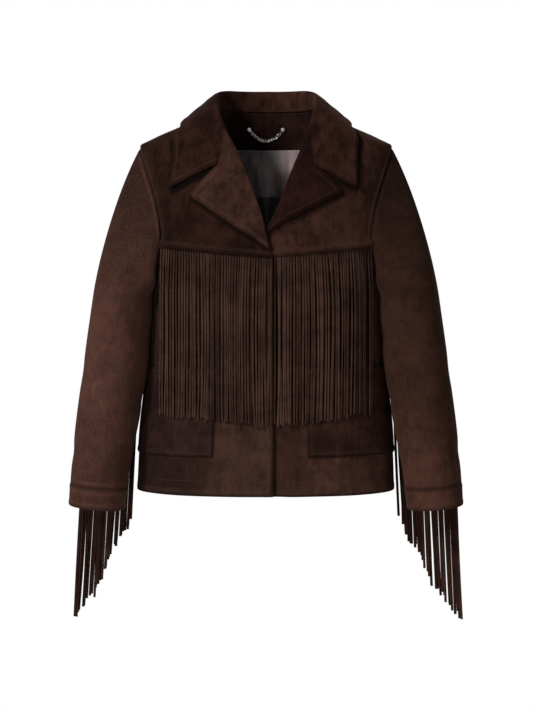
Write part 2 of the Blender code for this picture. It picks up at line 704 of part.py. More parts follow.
def make_sleeves(body):
    forms = {}
    for side, word in SIDES:
        rows = sleeve_rows(side, body)
        rows[-1] = [p + (q - p).normalized() * SEAM_SETBACK for p, q in zip(rows[-1], rows[-2])]
        cloth("sleeve_" + word, rows, SUEDE, "brown_suede", outward=False, closed=True,
              flip=side == RIGHT, even=False)
        cuff = [[sleeve_point(side, mix(CUFF_SEAM, CUFF_END, k / CUFF_ROWS), turn, CUFF_PROUD)
                 for turn in sleeve_turns()] for k in range(CUFF_ROWS + 1)]
        cuff[0] = [p + (q - p).normalized() * SEAM_SETBACK for p, q in zip(cuff[0], cuff[1])]
        cloth("cuff_" + word, cuff, SUEDE, "brown_suede", outward=False, closed=True,
              flip=side == RIGHT)
        count = len(rows[0])
        faces = [(r * count + c, r * count + (c + 1) % count,
                  (r + 1) * count + (c + 1) % count, (r + 1) * count + c)
                 for r in range(len(rows) - 1) for c in range(count)]
        forms[side] = BVHTree.FromPolygons([point for row in rows for point in row], faces)
    return forms


# ---- fringe --------------------------------------------------------------------
def comb(name, strips, flip):
    """Strands hanging from a strip: each is (top, foot, tip) at its two edges."""
    points, faces = [], []
    for strip in strips:
        points += [point for edge in strip for point in edge]
    for k in range(len(strips)):
        a = 6 * k
        faces += [(a, a + 1, a + 4, a + 3), (a + 1, a + 2, a + 5, a + 4)]
        if k + 1 < len(strips):
            faces.append((a + 3, a + 4, a + 7, a + 6))
    mesh = bpy.data.meshes.new(name)
    mesh.from_pydata(points, [], [face[::-1] if flip else face for face in faces])
    piece = place_in_jacket(bpy.data.objects.new(name, mesh), "brown_suede")
    solidify = piece.modifiers.new("wall", "SOLIDIFY")
    solidify.thickness = FRINGE_WALL
    solidify.offset = 1.0
    return piece


def strand_edges(middle, width):
    return middle - width / 2, middle + width / 2


def yoke_seam_height(side, x):
    """Height of the yoke's lower edge at an x on the front."""
    arm_angle, arm_height = armhole(side, YOKE_TURN)
    end = angle_at(CLOSING_X[side], YOKE_SEAM_CENTRE)
    height = YOKE_SEAM_CENTRE
    for _ in range(4):
        share = (angle_at(x, height) - arm_angle) / (end - arm_angle)
        height = mix(arm_height, YOKE_SEAM_CENTRE, share)
    return height


def uneven(k, amount):
    """A small repeatable unevenness for the k-th strand."""
    return amount * math.sin(12.9898 * k + 4.1) * math.cos(7.233 * k)


def front_strip(side, x_edges, number):
    edges = []
    for x in x_edges:
        seam = yoke_seam_height(side, x)
        tip = seam - FRINGE_DROP + uneven(number, 0.004)
        top = front_point(x, seam + 0.0038, SUEDE + LAYER_GAP, side)
        foot = front_point(x, seam - 0.0012, SUEDE + LAYER_GAP, side)
        edges.append((top, foot, front_point(x, tip, FRINGE_TIP_LIFT, side)))
    return edges


def make_front_fringe():
    for side, word in SIDES:
        start, end = FRINGE_SPAN[side]
        count = int((end - start) / FRINGE_PITCH)
        strips = [front_strip(side, strand_edges(start + FRINGE_PITCH * (k + 0.5), FRINGE_WIDTH), k)
                  for k in range(count)]
        comb("fringe_front_" + word, strips, flip=False)


def arm_strip(side, form, x_edges, number):
    """One strand behind the sleeve, hung from the seam across the sleeve's back."""
    edges = []
    for x in x_edges:
        seam = smooth_value([row.x for row in ARM_SEAM], [row.height for row in ARM_SEAM], x)
        reach = ARM_FRINGE_REACH[side] * (x - ARM_SEAM[0].x) / (ARM_SEAM[-1].x - ARM_SEAM[0].x)
        points = []
        for height in (seam, seam - ARM_FRINGE_STRIP):
            place, _, _, _ = form.ray_cast(Vector((side * (x + reach), 0.3, height)),
                                           Vector((0.0, -1.0, 0.0)))
            points.append(place + Vector((0.0, 0.0012, 0.0)))
        drop = ARM_FRINGE_DROP + uneven(number, 0.006)
        tip = points[-1] + Vector((side * drop * ARM_FRINGE_SPLAY[side], 0.002, -drop))
        edges.append((points[0], points[1], tip))
    return edges


def make_arm_fringe(forms):
    for side, word in SIDES:
        start, end = ARM_SEAM[0].x, ARM_SEAM[-1].x
        count = int((end - start) / ARM_FRINGE_PITCH)
        strips = [arm_strip(side, forms[side],
                            strand_edges(start + ARM_FRINGE_PITCH * (k + 0.5), ARM_FRINGE_WIDTH), k)
                  for k in range(count)]
        comb("fringe_sleeve_" + word, strips, flip=side == LEFT)


# ---- inside of the back --------------------------------------------------------
INSIDE_DEPTH = LINING_WALL + 0.0021     # lining and facing hang a little off the back


def back_angle_at(x, height):
    return 180.0 - angle_at(x, height)


def facing_bottom(angle):
    """Lower edge of the back neck facing, deepest at the centre back."""
    return mix(FACING_DEPTH_SIDE, FACING_DEPTH_CENTRE, math.sin(math.radians(angle - 90.0)))


def make_back_inside():
    facing = []
    for k in range(4):
        angles = [mix(96.0, 264.0, c / BACK_COLUMNS) for c in range(BACK_COLUMNS + 1)]
        facing.append([body_point(angle, mix(facing_bottom(angle), -0.0035, k / 3), -INSIDE_DEPTH)
                       for angle in angles])
    cloth("back_neck_facing", facing, LINING_WALL, "brown_suede")
    lining = [back_row(angle + 3.0, height, -INSIDE_DEPTH)
              for angle, height in back_edge()[1:] if height < LINING_TOP_ROW]
    angles = [mix(103.0, 257.0, c / BACK_COLUMNS) for c in range(BACK_COLUMNS + 1)]
    lining.append([body_point(angle, facing_bottom(angle) - 0.0008, -INSIDE_DEPTH)
                   for angle in angles])
    cloth("back_lining", lining, LINING_WALL, "satin_lining")


def make_label():
    depth = INSIDE_DEPTH + LINING_WALL + 0.0010
    rows = []
    for height in (LABEL_BOTTOM, mix(LABEL_BOTTOM, LABEL_TOP, 0.5), LABEL_TOP):
        rows.append([body_point(back_angle_at(mix(LABEL_HALF_WIDTH, -LABEL_HALF_WIDTH, c / 4), height),
                                height, -depth) for c in range(5)])
    cloth("label", rows, LINING_WALL * 0.8, "black_label")


def make_chain():
    depth = INSIDE_DEPTH + 0.0006
    for side, word in SIDES:
        angle = back_angle_at(side * STUD_X, STUD_HEIGHT)
        normal = body_normal(angle, STUD_HEIGHT)
        place = body_surface(angle, STUD_HEIGHT) - normal * (depth + LAYER_GAP + STUD_DEPTH / 2)
        bpy.ops.mesh.primitive_cylinder_add(vertices=16, radius=STUD_RADIUS, depth=STUD_DEPTH,
                                            location=place,
                                            rotation=normal.to_track_quat("Z", "Y").to_euler())
        stud = bpy.context.object
        stud.name = "chain_stud_" + word
        place_in_jacket(stud, "bright_steel")
    line = bpy.data.curves.new("hanger_chain", "CURVE")
    line.dimensions = "3D"
    line.bevel_depth = CHAIN_RADIUS
    line.bevel_resolution = 2
    line.use_fill_caps = True
    spline = line.splines.new("POLY")
    steps = 14
    spline.points.add(steps)
    reach = STUD_X - STUD_RADIUS * 0.4
    hang = STUD_HEIGHT - STUD_RADIUS - CHAIN_RADIUS - LAYER_GAP
    for k in range(steps + 1):
        x = mix(-reach, reach, k / steps)
        height = hang - (CHAIN_SAG - STUD_RADIUS) * (1.0 - (x / reach) ** 2)
        angle = back_angle_at(x, height)
        point = body_surface(angle, height) - body_normal(angle, height) * (
            depth + CHAIN_RADIUS + LAYER_GAP)
        spline.points[k].co = (*point, 1.0)
    chain = bpy.data.objects.new("hanger_chain", line)
    place_in_jacket(chain, "bright_steel")


def main():
    for piece in list(bpy.data.objects):
        bpy.data.objects.remove(piece, do_unlink=True)
    jacket = bpy.data.collections.new("fringed_jacket")
    bpy.context.scene.collection.children.link(jacket)
    for name in FINISHES:
        make_finish(name)
    body = body_form()
    make_back()
    make_fronts()
    make_yokes()
    make_pockets()
    make_lapels()
    make_collar(body)
    forms = make_sleeves(body)
    make_front_fringe()
    make_arm_fringe(forms)
    make_back_inside()
    make_label()
    make_chain()


main()
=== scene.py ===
"""Looks of a fringed suede jacket in its worn, hollow form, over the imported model."""
import math
from collections import namedtuple

import bpy
import numpy as np
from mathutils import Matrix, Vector
from mathutils.bvhtree import BVHTree


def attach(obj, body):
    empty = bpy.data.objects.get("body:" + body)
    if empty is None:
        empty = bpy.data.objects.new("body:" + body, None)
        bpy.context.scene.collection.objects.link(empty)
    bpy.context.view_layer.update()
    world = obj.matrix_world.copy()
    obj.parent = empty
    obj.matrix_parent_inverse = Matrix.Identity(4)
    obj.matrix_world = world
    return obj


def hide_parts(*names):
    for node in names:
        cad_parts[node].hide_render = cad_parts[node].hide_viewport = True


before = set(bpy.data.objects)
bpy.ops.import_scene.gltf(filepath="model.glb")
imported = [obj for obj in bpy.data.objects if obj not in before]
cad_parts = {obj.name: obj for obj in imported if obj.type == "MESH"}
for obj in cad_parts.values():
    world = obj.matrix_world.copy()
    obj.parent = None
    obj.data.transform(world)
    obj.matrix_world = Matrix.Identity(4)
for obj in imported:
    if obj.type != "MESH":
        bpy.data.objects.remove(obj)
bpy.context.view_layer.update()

RIGHT, LEFT = -1, 1
SIDES = ((RIGHT, "right"), (LEFT, "left"))
RNG = np.random.default_rng(7)

# ---- sizes, as in the model ------------------------------------------------------
SUEDE, COLLAR_WALL, FRINGE_WALL, LINING_WALL = 0.0016, 0.0018, 0.0011, 0.0010
POCKET_WALL, LABEL_WALL = 0.0014, LINING_WALL * 0.8
LAYER_GAP, ROLL_GAP = 0.0004, 0.0006
SEAM_SETBACK, ROLL_SETBACK = 0.0002, 0.0003     # by how much an edge at a seam stands back
HEM, UNDERARM, SHOULDER_TIP = -0.623, -0.275, -0.065
YOKE_SEAM_CENTRE = -0.247
CLOSING_X = {RIGHT: 0.0110, LEFT: -0.0150}
UNDERLAP_DEPTH, UNDERLAP_END_X = 0.0074, 0.044
POCKET_BOTTOM, POCKET_TOP = -0.562, -0.420
RING_POWER = 2.2

# height, half width, front depth, back depth
BODY_RINGS = np.array((
    (-0.623, 0.2090, 0.1250, 0.1200), (-0.535, 0.2050, 0.1210, 0.1120),
    (-0.400, 0.1920, 0.1180, 0.1030), (-0.310, 0.1900, 0.1185, 0.1070),
    (-0.270, 0.1980, 0.1220, 0.1130), (-0.190, 0.2015, 0.1220, 0.1160),
    (-0.137, 0.2025, 0.1120, 0.1130), (-0.065, 0.2035, 0.0850, 0.0960),
    (-0.052, 0.1820, 0.0822, 0.0925), (-0.030, 0.1325, 0.0765, 0.0850),
    (0.0000, 0.0800, 0.0700, 0.0750))).T

ARMHOLE_SCOOP_FRONT, ARMHOLE_SCOOP_BACK = 33.0, 27.0
ARMHOLE_SKEW, ARMHOLE_SQUARE, YOKE_TURN = 0.35, 0.75, 124.0
SIDE_HEIGHTS = (HEM, -0.592, POCKET_BOTTOM, -0.520, -0.470, POCKET_TOP, -0.370, -0.322, UNDERARM)
SIDE_TOP = len(SIDE_HEIGHTS) - 1
FRONT_STEPS, BACK_STEPS, SHOULDER_STEPS = 5, 11, 5     # of the model's rows above the side seam
POCKET_ANGLE = {RIGHT: 21.4, LEFT: 16.3}

NECK_EDGE = {   # x, height
    RIGHT: ((0.0110, -0.2470), (0.0065, -0.2390), (0.0010, -0.2240), (-0.0055, -0.1920),
            (-0.0235, -0.1380), (-0.0470, -0.0800), (-0.0655, -0.0440), (-0.0750, -0.0200),
            (-0.0795, -0.0060), (-0.0800, 0.0)),
    LEFT: ((-0.0150, -0.2470), (-0.0110, -0.2340), (-0.0040, -0.2150), (0.0080, -0.1930),
           (0.0250, -0.1560), (0.0390, -0.1190), (0.0600, -0.0680), (0.0700, -0.0430),
           (0.0765, -0.0200), (0.0795, -0.0060), (0.0800, 0.0))}
GORGE_HEIGHT = -0.0440
NOTCH = {RIGHT: (-0.0755, -0.1005), LEFT: (0.0740, -0.1020)}
LAPEL_TIP = {RIGHT: (-0.1205, -0.1485), LEFT: (0.1205, -0.1430)}
LAPEL_EDGE = {
    RIGHT: ((-0.1205, -0.1485), (-0.0510, -0.1960), (-0.0160, -0.2180), (-0.0055, -0.2245)),
    LEFT: ((0.1205, -0.1430), (0.0630, -0.1727), (0.0200, -0.1955), (0.0085, -0.2017))}
LAPEL_TOP_SWELL = {RIGHT: 0.0010, LEFT: 0.0025}
LAPEL_FOOT = {RIGHT: -0.2320, LEFT: -0.2085}
LAPEL_ROLL_LIFT, LAPEL_FOOT_LIFT, LAPEL_EDGE_LIFT, NOTCH_LIFT = 0.0075, 0.0046, 0.0068, 0.0066
# share from the point to the centre back, angle on the right, on the left, height, lift
COLLAR_EDGE = np.array((
    (0.00, 46.3, 42.0, -0.1375, 0.0100), (0.14, 43.6, 42.4, -0.0820, 0.0085),
    (0.27, 50.3, 50.3, -0.0490, 0.0060), (0.335, 66.0, 66.0, -0.0385, 0.0050),
    (0.40, 90.0, 90.0, -0.0322, 0.0050), (0.55, 118.0, 118.0, -0.0370, 0.0048),
    (0.75, 148.0, 148.0, -0.0440, 0.0045), (1.00, 180.0, 180.0, -0.0480, 0.0045))).T
COLLAR_FOLD = np.array(((0.0, LAPEL_ROLL_LIFT), (0.15, 0.0105), (0.30, 0.0165), (0.40, 0.0220),
                        (0.50, 0.0275), (0.70, 0.0330), (1.0, 0.0340))).T
COLLAR_SHOULDER_SHARE, COLLAR_SWELL = 0.40, 0.028
GORGE_SHARES = (1 / 3, 2 / 3, 1.0)
NOTCH_COLUMN = 6            # of a lapel's or collar's rows: four for the roll, then the gorge
OUTER_SHARES = (0.15, 0.30, 0.45, 0.62, 0.82, 1.0)

# height, x, y, half width, half depth, turn, slope
SLEEVE_RINGS = np.array((
    (-0.6440, 0.2718, -0.0700, 0.0440, 0.0480, 8.0, 0.100),
    (-0.5900, 0.2668, -0.0640, 0.0460, 0.0510, 9.0, 0.090),
    (-0.5300, 0.2588, -0.0570, 0.0488, 0.0555, 11.0, 0.070),
    (-0.4749, 0.2502, -0.0510, 0.0508, 0.0590, 12.0, 0.055),
    (-0.3947, 0.2390, -0.0420, 0.0512, 0.0650, 13.0, 0.035),
    (-0.3136, 0.2286, -0.0320, 0.0500, 0.0700, 14.0, 0.000))).T
BICEPS = -0.3136
# turn, x outwards, y, z
SLEEVE_LEAVES = np.array((
    (0.0, 0.48, 0.0, -0.88), (80.0, 0.48, 0.0, -0.88), (145.0, 0.06, -0.45, -0.89),
    (180.0, 0.25, -0.30, -0.92), (215.0, 0.60, -0.06, -0.80), (290.0, 0.62, 0.0, -0.78),
    (360.0, 0.48, 0.0, -0.88))).T
HEAD_SWELL_TURN, HEAD_SWELL_WIDE, HEAD_SWELL_IN, HEAD_SWELL_OUT = 150.0, 26.0, 0.0120, 0.0060
CUFF_SEAM, CUFF_END, CUFF_PROUD, BODY_CLEARANCE = -0.6110, -0.6440, 0.0006, 0.0030
# soft creases: turn, height, depth, wide, tall, lean (degrees per metre)
SLEEVE_FOLDS = (
    (150.0, -0.372, 0.0035, 55.0, 0.016, 0.0), (60.0, -0.430, 0.0022, 45.0, 0.020, 0.0),
    (170.0, -0.470, 0.0030, 50.0, 0.018, 0.0), (30.0, -0.560, 0.0018, 50.0, 0.016, 0.0))

FRINGE_DROP = 0.265
FRINGE_SPAN = {RIGHT: (-0.1675, 0.0102), LEFT: (0.0122, 0.1675)}
ARM_FRINGE_DROP, ARM_FRINGE_STRIP = 0.275, 0.006
ARM_FRINGE_SPLAY = {RIGHT: 0.062, LEFT: 0.048}
ARM_FRINGE_REACH = {RIGHT: 0.0, LEFT: 0.0085}     # how much further out its last strand hangs
ARM_SEAM = np.array(((0.2065, -0.3990), (0.2148, -0.4190), (0.2386, -0.4580), (0.2600, -0.5105),
                     (0.2780, -0.5335), (0.2990, -0.5590))).T
STUD_X, STUD_HEIGHT = 0.0287, -0.0268
CHAIN_SAG = 0.0185
LABEL_TOP, LABEL_BOTTOM, LABEL_HALF_WIDTH = -0.1400, -0.2040, 0.0240
FACING_DEPTH_CENTRE, FACING_DEPTH_SIDE = -0.0616, -0.0360
# place, depth, width, lean: soft folds of the lining, which stand into the jacket
LINING_FOLDS = (
    (-0.070, 0.0060, 0.012, 0.2), (-0.040, 0.0050, 0.010, 0.1), (-0.012, 0.0070, 0.008, 0.15),
    (0.010, 0.0050, 0.006, -0.1), (0.028, 0.0060, 0.008, 0.0), (0.060, 0.0060, 0.012, -0.2))
INSIDE_DEPTH = LINING_WALL + 0.0021
POCKET_ROWS = (2, 5)         # of the fronts' heights, which a pocket lies between
UPWARDS = np.array((0.0, 0.0, 1.0))

# ---- sizes of the looks alone ----------------------------------------------------
FRINGE_STRANDS, ARM_FRINGE_STRANDS = {RIGHT: 42, LEFT: 37}, 32
PARTING = {RIGHT: 0.2765, LEFT: 0.2580}     # where the strands of an arm fringe part
# Painted light and shade: the front fringe on one side is made darker, on the other lighter.
FRINGE_SIDE_SHADE = {RIGHT: 0.10, LEFT: -0.22}    # how much darker its strands are
TOWARDS_LIGHT = Vector((-0.0022, -0.0020, 0.0042))
# Painted shade: the suede's colour darkens towards its top and its foot between these heights.
TOP_SHADE, FOOT_SHADE = (-0.46, -0.09), (-0.60, -0.43)      # heights between which suede darkens
LINK_DROP = 0.0012           # from a stud to the chain's first link
EDGE_BAND = 0.0080           # from a lapel's or the collar's edge to its topstitching
HEM_TURNING, HEM_EDGE = 0.0235, 0.0045      # from the hem to its two rows of stitches
CLOSING_STITCHES, YOKE_STITCHES, ARM_STITCHES = (0.0065, 0.0100), (0.0085, 0.0120), (0.0045, 0.0075)
POCKET_EDGE, POCKET_MOUTH, CUFF_EDGE = 0.0048, 0.0220, 0.0045
CORNER_RADIUS = 0.0090       # of a lapel's or the collar's point
SEAM_REACH = 0.06            # how far in from a seam its distance is counted
SLEEVE_TURNS = np.arange(140) * 360.0 / 140


# ---- curves ------------------------------------------------------------------------
def hermite(start, end, leaving, arriving, t):
    return (start * (2 * t**3 - 3 * t**2 + 1) + leaving * (t**3 - 2 * t**2 + t)
            + end * (3 * t**2 - 2 * t**3) + arriving * (t**3 - t**2))


def smooth(places, values, at):
    """Value on the smooth, never overshooting curve through a table."""
    places, values = np.asarray(places, float), np.asarray(values, float)
    at = np.clip(at, places[0], places[-1])
    rise = np.diff(values) / np.diff(places)
    before, after = rise[:-1], rise[1:]
    both = np.where(before * after > 0.0, before + after, 1.0)
    inner = np.where(before * after > 0.0, 2.0 * before * after / both, 0.0)
    slope = np.concatenate([rise[:1], inner, rise[-1:]])
    k = np.clip(np.searchsorted(places, at, side="right") - 1, 0, len(places) - 2)
    run = places[k + 1] - places[k]
    return hermite(values[k], values[k + 1], slope[k] * run, slope[k + 1] * run,
                   (at - places[k]) / run)


def ease(value, start, end):
    t = np.clip((value - start) / (end - start), 0.0, 1.0)
    return t * t * (3.0 - 2.0 * t)


def mix(a, b, t):
    return a + (b - a) * t


def unit(vectors):
    return vectors / np.maximum(np.linalg.norm(vectors, axis=-1, keepdims=True), 1e-12)


def bump(value, middle, width):
    return np.exp(-((value - middle) / width) ** 2)


def lengths(points, axis=0):
    """Length travelled along an axis of a grid of points, from its first."""
    steps = np.linalg.norm(np.diff(points, axis=axis), axis=-1)
    first = np.zeros_like(np.take(steps, [0], axis=axis))
    return np.concatenate([first, np.cumsum(steps, axis=axis)], axis=axis)


def curve_through(points, share):
    points = np.asarray(points, float)
    run = lengths(points)
    return np.stack([smooth(run, points[:, i], np.asarray(share) * run[-1])
                     for i in range(points.shape[1])], -1)


def spline(places, values, at):
    """Natural cubic spline through rows of values."""
    n = len(places)
    step = np.diff(places)
    matrix, right = np.eye(n), np.zeros_like(values)
    for k in range(1, n - 1):
        matrix[k, k - 1:k + 2] = step[k - 1], 2 * (step[k - 1] + step[k]), step[k]
        right[k] = 6 * ((values[k + 1] - values[k]) / step[k]
                        - (values[k] - values[k - 1]) / step[k - 1])
    bend = np.linalg.solve(matrix, right)
    k = np.clip(np.searchsorted(places, at, side="right") - 1, 0, n - 2)
    h, a = step[k][:, None], ((places[k + 1] - at) / step[k])[:, None]
    b = 1.0 - a
    return (a * values[k] + b * values[k + 1]
            + ((a**3 - a) * bend[k] + (b**3 - b) * bend[k + 1]) * h * h / 6)


def refine(grid, rows, columns, notched=("b",)):
    """A finer grid on the smooth surface through a coarse one, with a sharp notch at named ends."""
    run = lengths(grid).mean(axis=1)
    flat = spline(run, grid.reshape(len(grid), -1), np.linspace(0.0, run[-1], rows))
    grid = flat.reshape(rows, grid.shape[1], 3)
    run = lengths(grid, 1).mean(axis=0)
    at = np.linspace(0.0, run[-1], columns)
    lines = grid.swapaxes(1, 2).reshape(-1, len(run))
    inner, corner = at <= run[NOTCH_COLUMN], NOTCH_COLUMN
    flat = np.stack([smooth(run, values, at) for values in lines])
    sharp = np.stack([np.concatenate([smooth(run[:corner + 1], values[:corner + 1], at[inner]),
                                      smooth(run[corner:], values[corner:], at[~inner])])
                      for values in lines])
    flat, sharp = (found.reshape(rows, 3, columns).swapaxes(1, 2) for found in (flat, sharp))
    return mix(sharp, flat, ease(edge_distance(flat, notched), 0.001, 0.022)[..., None])


def read_curves(table, at):
    """What a table's smooth curves say at a place in its first column."""
    return [smooth(table[0], column, at) for column in table[1:]]


# ---- the body's form ---------------------------------------------------------------
def together(*values):
    return np.broadcast_arrays(*(np.asarray(value, float) for value in values))


def body_surface(angle, height):
    angle, height = together(angle, height)
    sine, cosine = np.sin(np.radians(angle)), np.cos(np.radians(angle))
    half_width, front, back = read_curves(BODY_RINGS, height)
    bend = 2 / RING_POWER
    depth = np.where(cosine > 0.0, front, back)
    return np.stack([half_width * np.sign(sine) * np.abs(sine) ** bend,
                     -depth * np.sign(cosine) * np.abs(cosine) ** bend, height], -1)


def body_normal(angle, height):
    angle, height = together(angle, height)
    around = body_surface(angle + 0.5, height) - body_surface(angle - 0.5, height)
    up = body_surface(angle, height + 0.001) - body_surface(angle, height - 0.001)
    return unit(np.cross(around, up))


def underlap(x):
    return UNDERLAP_DEPTH * (1.0 - ease(x, CLOSING_X[RIGHT] + 0.003, UNDERLAP_END_X))


# Soft creases of the worn body: as a sleeve's
BODY_CREASES = (
    (-70.0, -0.300, 0.0016, 9.0, 0.030, 160.0), (72.0, -0.295, 0.0018, 9.0, 0.034, -150.0),
    (-40.0, -0.600, 0.0016, 12.0, 0.060, 60.0), (35.0, -0.590, 0.0020, 10.0, 0.070, -40.0),
    (12.0, -0.600, 0.0014, 7.0, 0.050, 20.0), (-15.0, -0.595, 0.0012, 8.0, 0.050, 0.0),
    (150.0, -0.420, 0.0030, 14.0, 0.020, 300.0), (208.0, -0.440, 0.0026, 16.0, 0.022, -260.0),
    (130.0, -0.290, 0.0024, 10.0, 0.050, 180.0), (228.0, -0.300, 0.0026, 10.0, 0.050, -160.0),
    (180.0, -0.600, 0.0022, 12.0, 0.080, 0.0), (140.0, -0.590, 0.0020, 10.0, 0.070, 40.0),
    (222.0, -0.595, 0.0022, 11.0, 0.070, -30.0))


def creases(table, turn, height, total=0.0):
    """The sum of a table's soft creases at a place on the body or a sleeve, added to a start."""
    for crease_turn, crease_height, depth, wide, tall, lean in table:
        off = (turn - crease_turn + 180.0) % 360.0 - 180.0 - lean * (height - crease_height)
        total = total + depth * np.exp(-(off / wide) ** 2 - ((height - crease_height) / tall) ** 2)
    return total


def body_relief(angle, height):
    """Soft ridges and troughs of the cloth, all standing out from the form."""
    ripple = 0.0006 * (1.0 + np.sin(np.radians(angle * 5.0) + height * 14.0))
    return creases(BODY_CREASES, angle, height, ripple * ease(-height, 0.35, 0.6))


def body_point(angle, height, lift=0.0, side=RIGHT):
    point = body_surface(angle, height)
    if side == LEFT:
        lift = lift - underlap(point[..., 0]) * (np.abs(angle) < 90.0)
    lift = lift + body_relief(angle, height)
    return point + body_normal(angle, height) * np.asarray(lift)[..., None]


def angle_at(x, height):
    share = np.minimum(np.abs(x) / smooth(BODY_RINGS[0], BODY_RINGS[1], height), 1.0)
    return np.sign(x) * np.degrees(np.arcsin(share ** (RING_POWER / 2)))


def front_point(x, height, lift, side):
    return body_point(angle_at(x, height), height, lift, side)


def armhole(side, turn):
    turn = np.asarray(turn, float)
    cosine, sine = np.cos(np.radians(turn)), np.sin(np.radians(turn))
    scoop = np.where(turn <= 180.0, ARMHOLE_SCOOP_FRONT, ARMHOLE_SCOOP_BACK)
    squared = (turn > 90.0) & (turn < 180.0)
    sine = np.where(squared, np.abs(sine) ** ARMHOLE_SQUARE, sine)
    height = mix(UNDERARM, SHOULDER_TIP, 0.5 + 0.5 * cosine)
    return side * (90.0 - scoop * sine * (1.0 - ARMHOLE_SKEW * cosine)), height


def neck_edge(side, share):
    place = curve_through(NECK_EDGE[side], share)
    return place[..., 0], place[..., 1]


def neck_share(side, height):
    shares = np.linspace(0.0, 1.0, 2001)
    return np.interp(height, neck_edge(side, shares)[1], shares)


# ---- cloth -------------------------------------------------------------------------
Cloth = namedtuple("Cloth", "points normals")    # a grid on the cloth's outer face
PIECES = {}
SHEETS = []     # piece, cut width, cut length, flat area, what it hangs on


def grid_normals(points, closed=False, flip=False):
    if closed:
        around = np.roll(points, -1, axis=1) - np.roll(points, 1, axis=1)
    else:
        around = np.gradient(points, axis=1)
    normals = unit(np.cross(around, np.gradient(points, axis=0)))
    return -normals if flip else normals


def raised(points, lift, closed=False, flip=False):
    """The grid moved along its own normals."""
    return points + grid_normals(points, closed, flip) * lift[..., None]


def edge_distance(points, edges="lrbt"):
    """Distance in from the nearest of the named edges: left, right, bottom, top."""
    across, along = lengths(points, 1), lengths(points, 0)
    found = {"l": across, "r": across[:, -1:] - across, "b": along, "t": along[-1:] - along}
    return np.min([found[name] for name in edges], axis=0)


def turned_edge(distance, stitch, height):
    """Height of a turned and topstitched edge: a soft roll, then the stitches' groove."""
    roll = height * ease(distance, -0.25 * stitch, 0.85 * stitch)
    roll = roll * (1.0 - 0.85 * ease(distance, 1.05 * stitch, 2.3 * stitch))
    return roll - 0.45 * height * bump(distance, stitch, 0.0007)


def grid_faces(points, closed=False):
    """A grid's point numbers, with the first column again where it closes, and its faces."""
    index = np.arange(points.shape[0] * points.shape[1]).reshape(points.shape[:2])
    if closed:
        index = np.concatenate([index, index[:, :1]], axis=1)
    corners = index[:-1, :-1], index[:-1, 1:], index[1:, 1:], index[1:, :-1]
    return index, np.stack(corners, -1).reshape(-1, 4)


def tube_tree(points):
    """A search tree of the closed surface through rings of points."""
    _, faces = grid_faces(points, True)
    return BVHTree.FromPolygons(points.reshape(-1, 3).tolist(), faces.tolist())


def add_object(name, data):
    made = bpy.data.objects.new(name, data)
    bpy.context.scene.collection.objects.link(made)
    return made


def add_values(mesh, label, values):
    """Give each point of a mesh a value or a vector."""
    kind, field = ("FLOAT", "value") if values.ndim == 1 else ("FLOAT_VECTOR", "vector")
    made = mesh.attributes.new(label, kind, "POINT")
    made.data.foreach_set(field, values.astype(np.float32).ravel())


def open_rim(points, index):
    """The closed line round an open grid, and the ways out of the cloth along it."""
    sides = [(index[0, :], unit(points[0] - points[1])),
             (index[:, -1], unit(points[:, -1] - points[:, -2])),
             (index[-1, ::-1], unit(points[-1] - points[-2])[::-1]),
             (index[::-1, 0], unit(points[:, 0] - points[:, 1])[::-1])]
    out = [ways[:-1].copy() for _, ways in sides]
    for k in range(4):
        out[k][0] = unit(out[k][0] + sides[k - 1][1][-1])
    return [(np.concatenate([line[:-1] for line, _ in sides]), np.concatenate(out))]


def tube_rims(points, index):
    """The two ends of a tube, and the ways out of the cloth along them."""
    first, last = unit(points[0] - points[1]), unit(points[-1] - points[-2])
    return [(index[0, :-1], first), (index[-1, :0:-1], np.concatenate([last, last[:1]])[:0:-1])]


def shell(name, points, wall, held_by, material=None, closed=False, flip=False, lift=None,
          seam=None):
    """A thin shell with a rounded rim: its outer face is the grid, its wall lies inside.

    It is remembered as a sheet whose cut is its own surface laid flat."""
    if lift is not None:
        points = raised(points, lift, closed, flip)
    normals = grid_normals(points, closed, flip)
    index, quads = grid_faces(points, closed)
    across, along = lengths(points, 1), lengths(points, 0)
    flat, uv = points.reshape(-1, 3), np.stack([across, along], -1).reshape(-1, 2)
    count = len(flat)
    inner = (points - normals * wall).reshape(-1, 3)
    all_points, all_uv, faces = [flat, inner], [uv, uv], [quads, quads[:, ::-1] + count]
    base = 2 * count
    for line, out in (tube_rims if closed else open_rim)(points, index):
        all_points.append(0.5 * (flat[line] + inner[line]) + out * wall * 0.45)
        all_uv.append(uv[line])
        ids = base + np.arange(len(line))
        next_id, next_line = np.roll(ids, -1), np.roll(line, -1)
        faces.append(np.stack([next_line, line, ids, next_id], -1))
        faces.append(np.stack([next_id, ids, line + count, next_line + count], -1))
        base += len(line)
    faces = np.concatenate(faces)[:, ::-1 if flip else 1]
    mesh = bpy.data.meshes.new(name)
    mesh.from_pydata(np.concatenate(all_points).tolist(), [], faces.tolist())
    mesh.shade_smooth()
    corner = np.empty(len(mesh.loops), np.int32)
    mesh.loops.foreach_get("vertex_index", corner)
    mesh.uv_layers.new(name="UVMap").data.foreach_set(
        "uv", np.concatenate(all_uv)[corner].astype(np.float32).ravel())
    if seam is not None:
        add_values(mesh, "seam", np.concatenate([np.clip(seam, 0.0, SEAM_REACH).ravel(),
                                                 np.full(count, SEAM_REACH),
                                                 np.zeros(base - 2 * count)]))
    mesh.materials.append(material or DRESS[name])
    PIECES[name] = add_object(name, mesh)
    cells = np.cross(np.diff(points, axis=1)[:-1], np.diff(points, axis=0)[:, :-1])
    SHEETS.append((name, float(across[:, -1].max()), float(along[-1].max()),
                   float(np.linalg.norm(cells, axis=-1).sum()), held_by))
    return Cloth(points, normals)


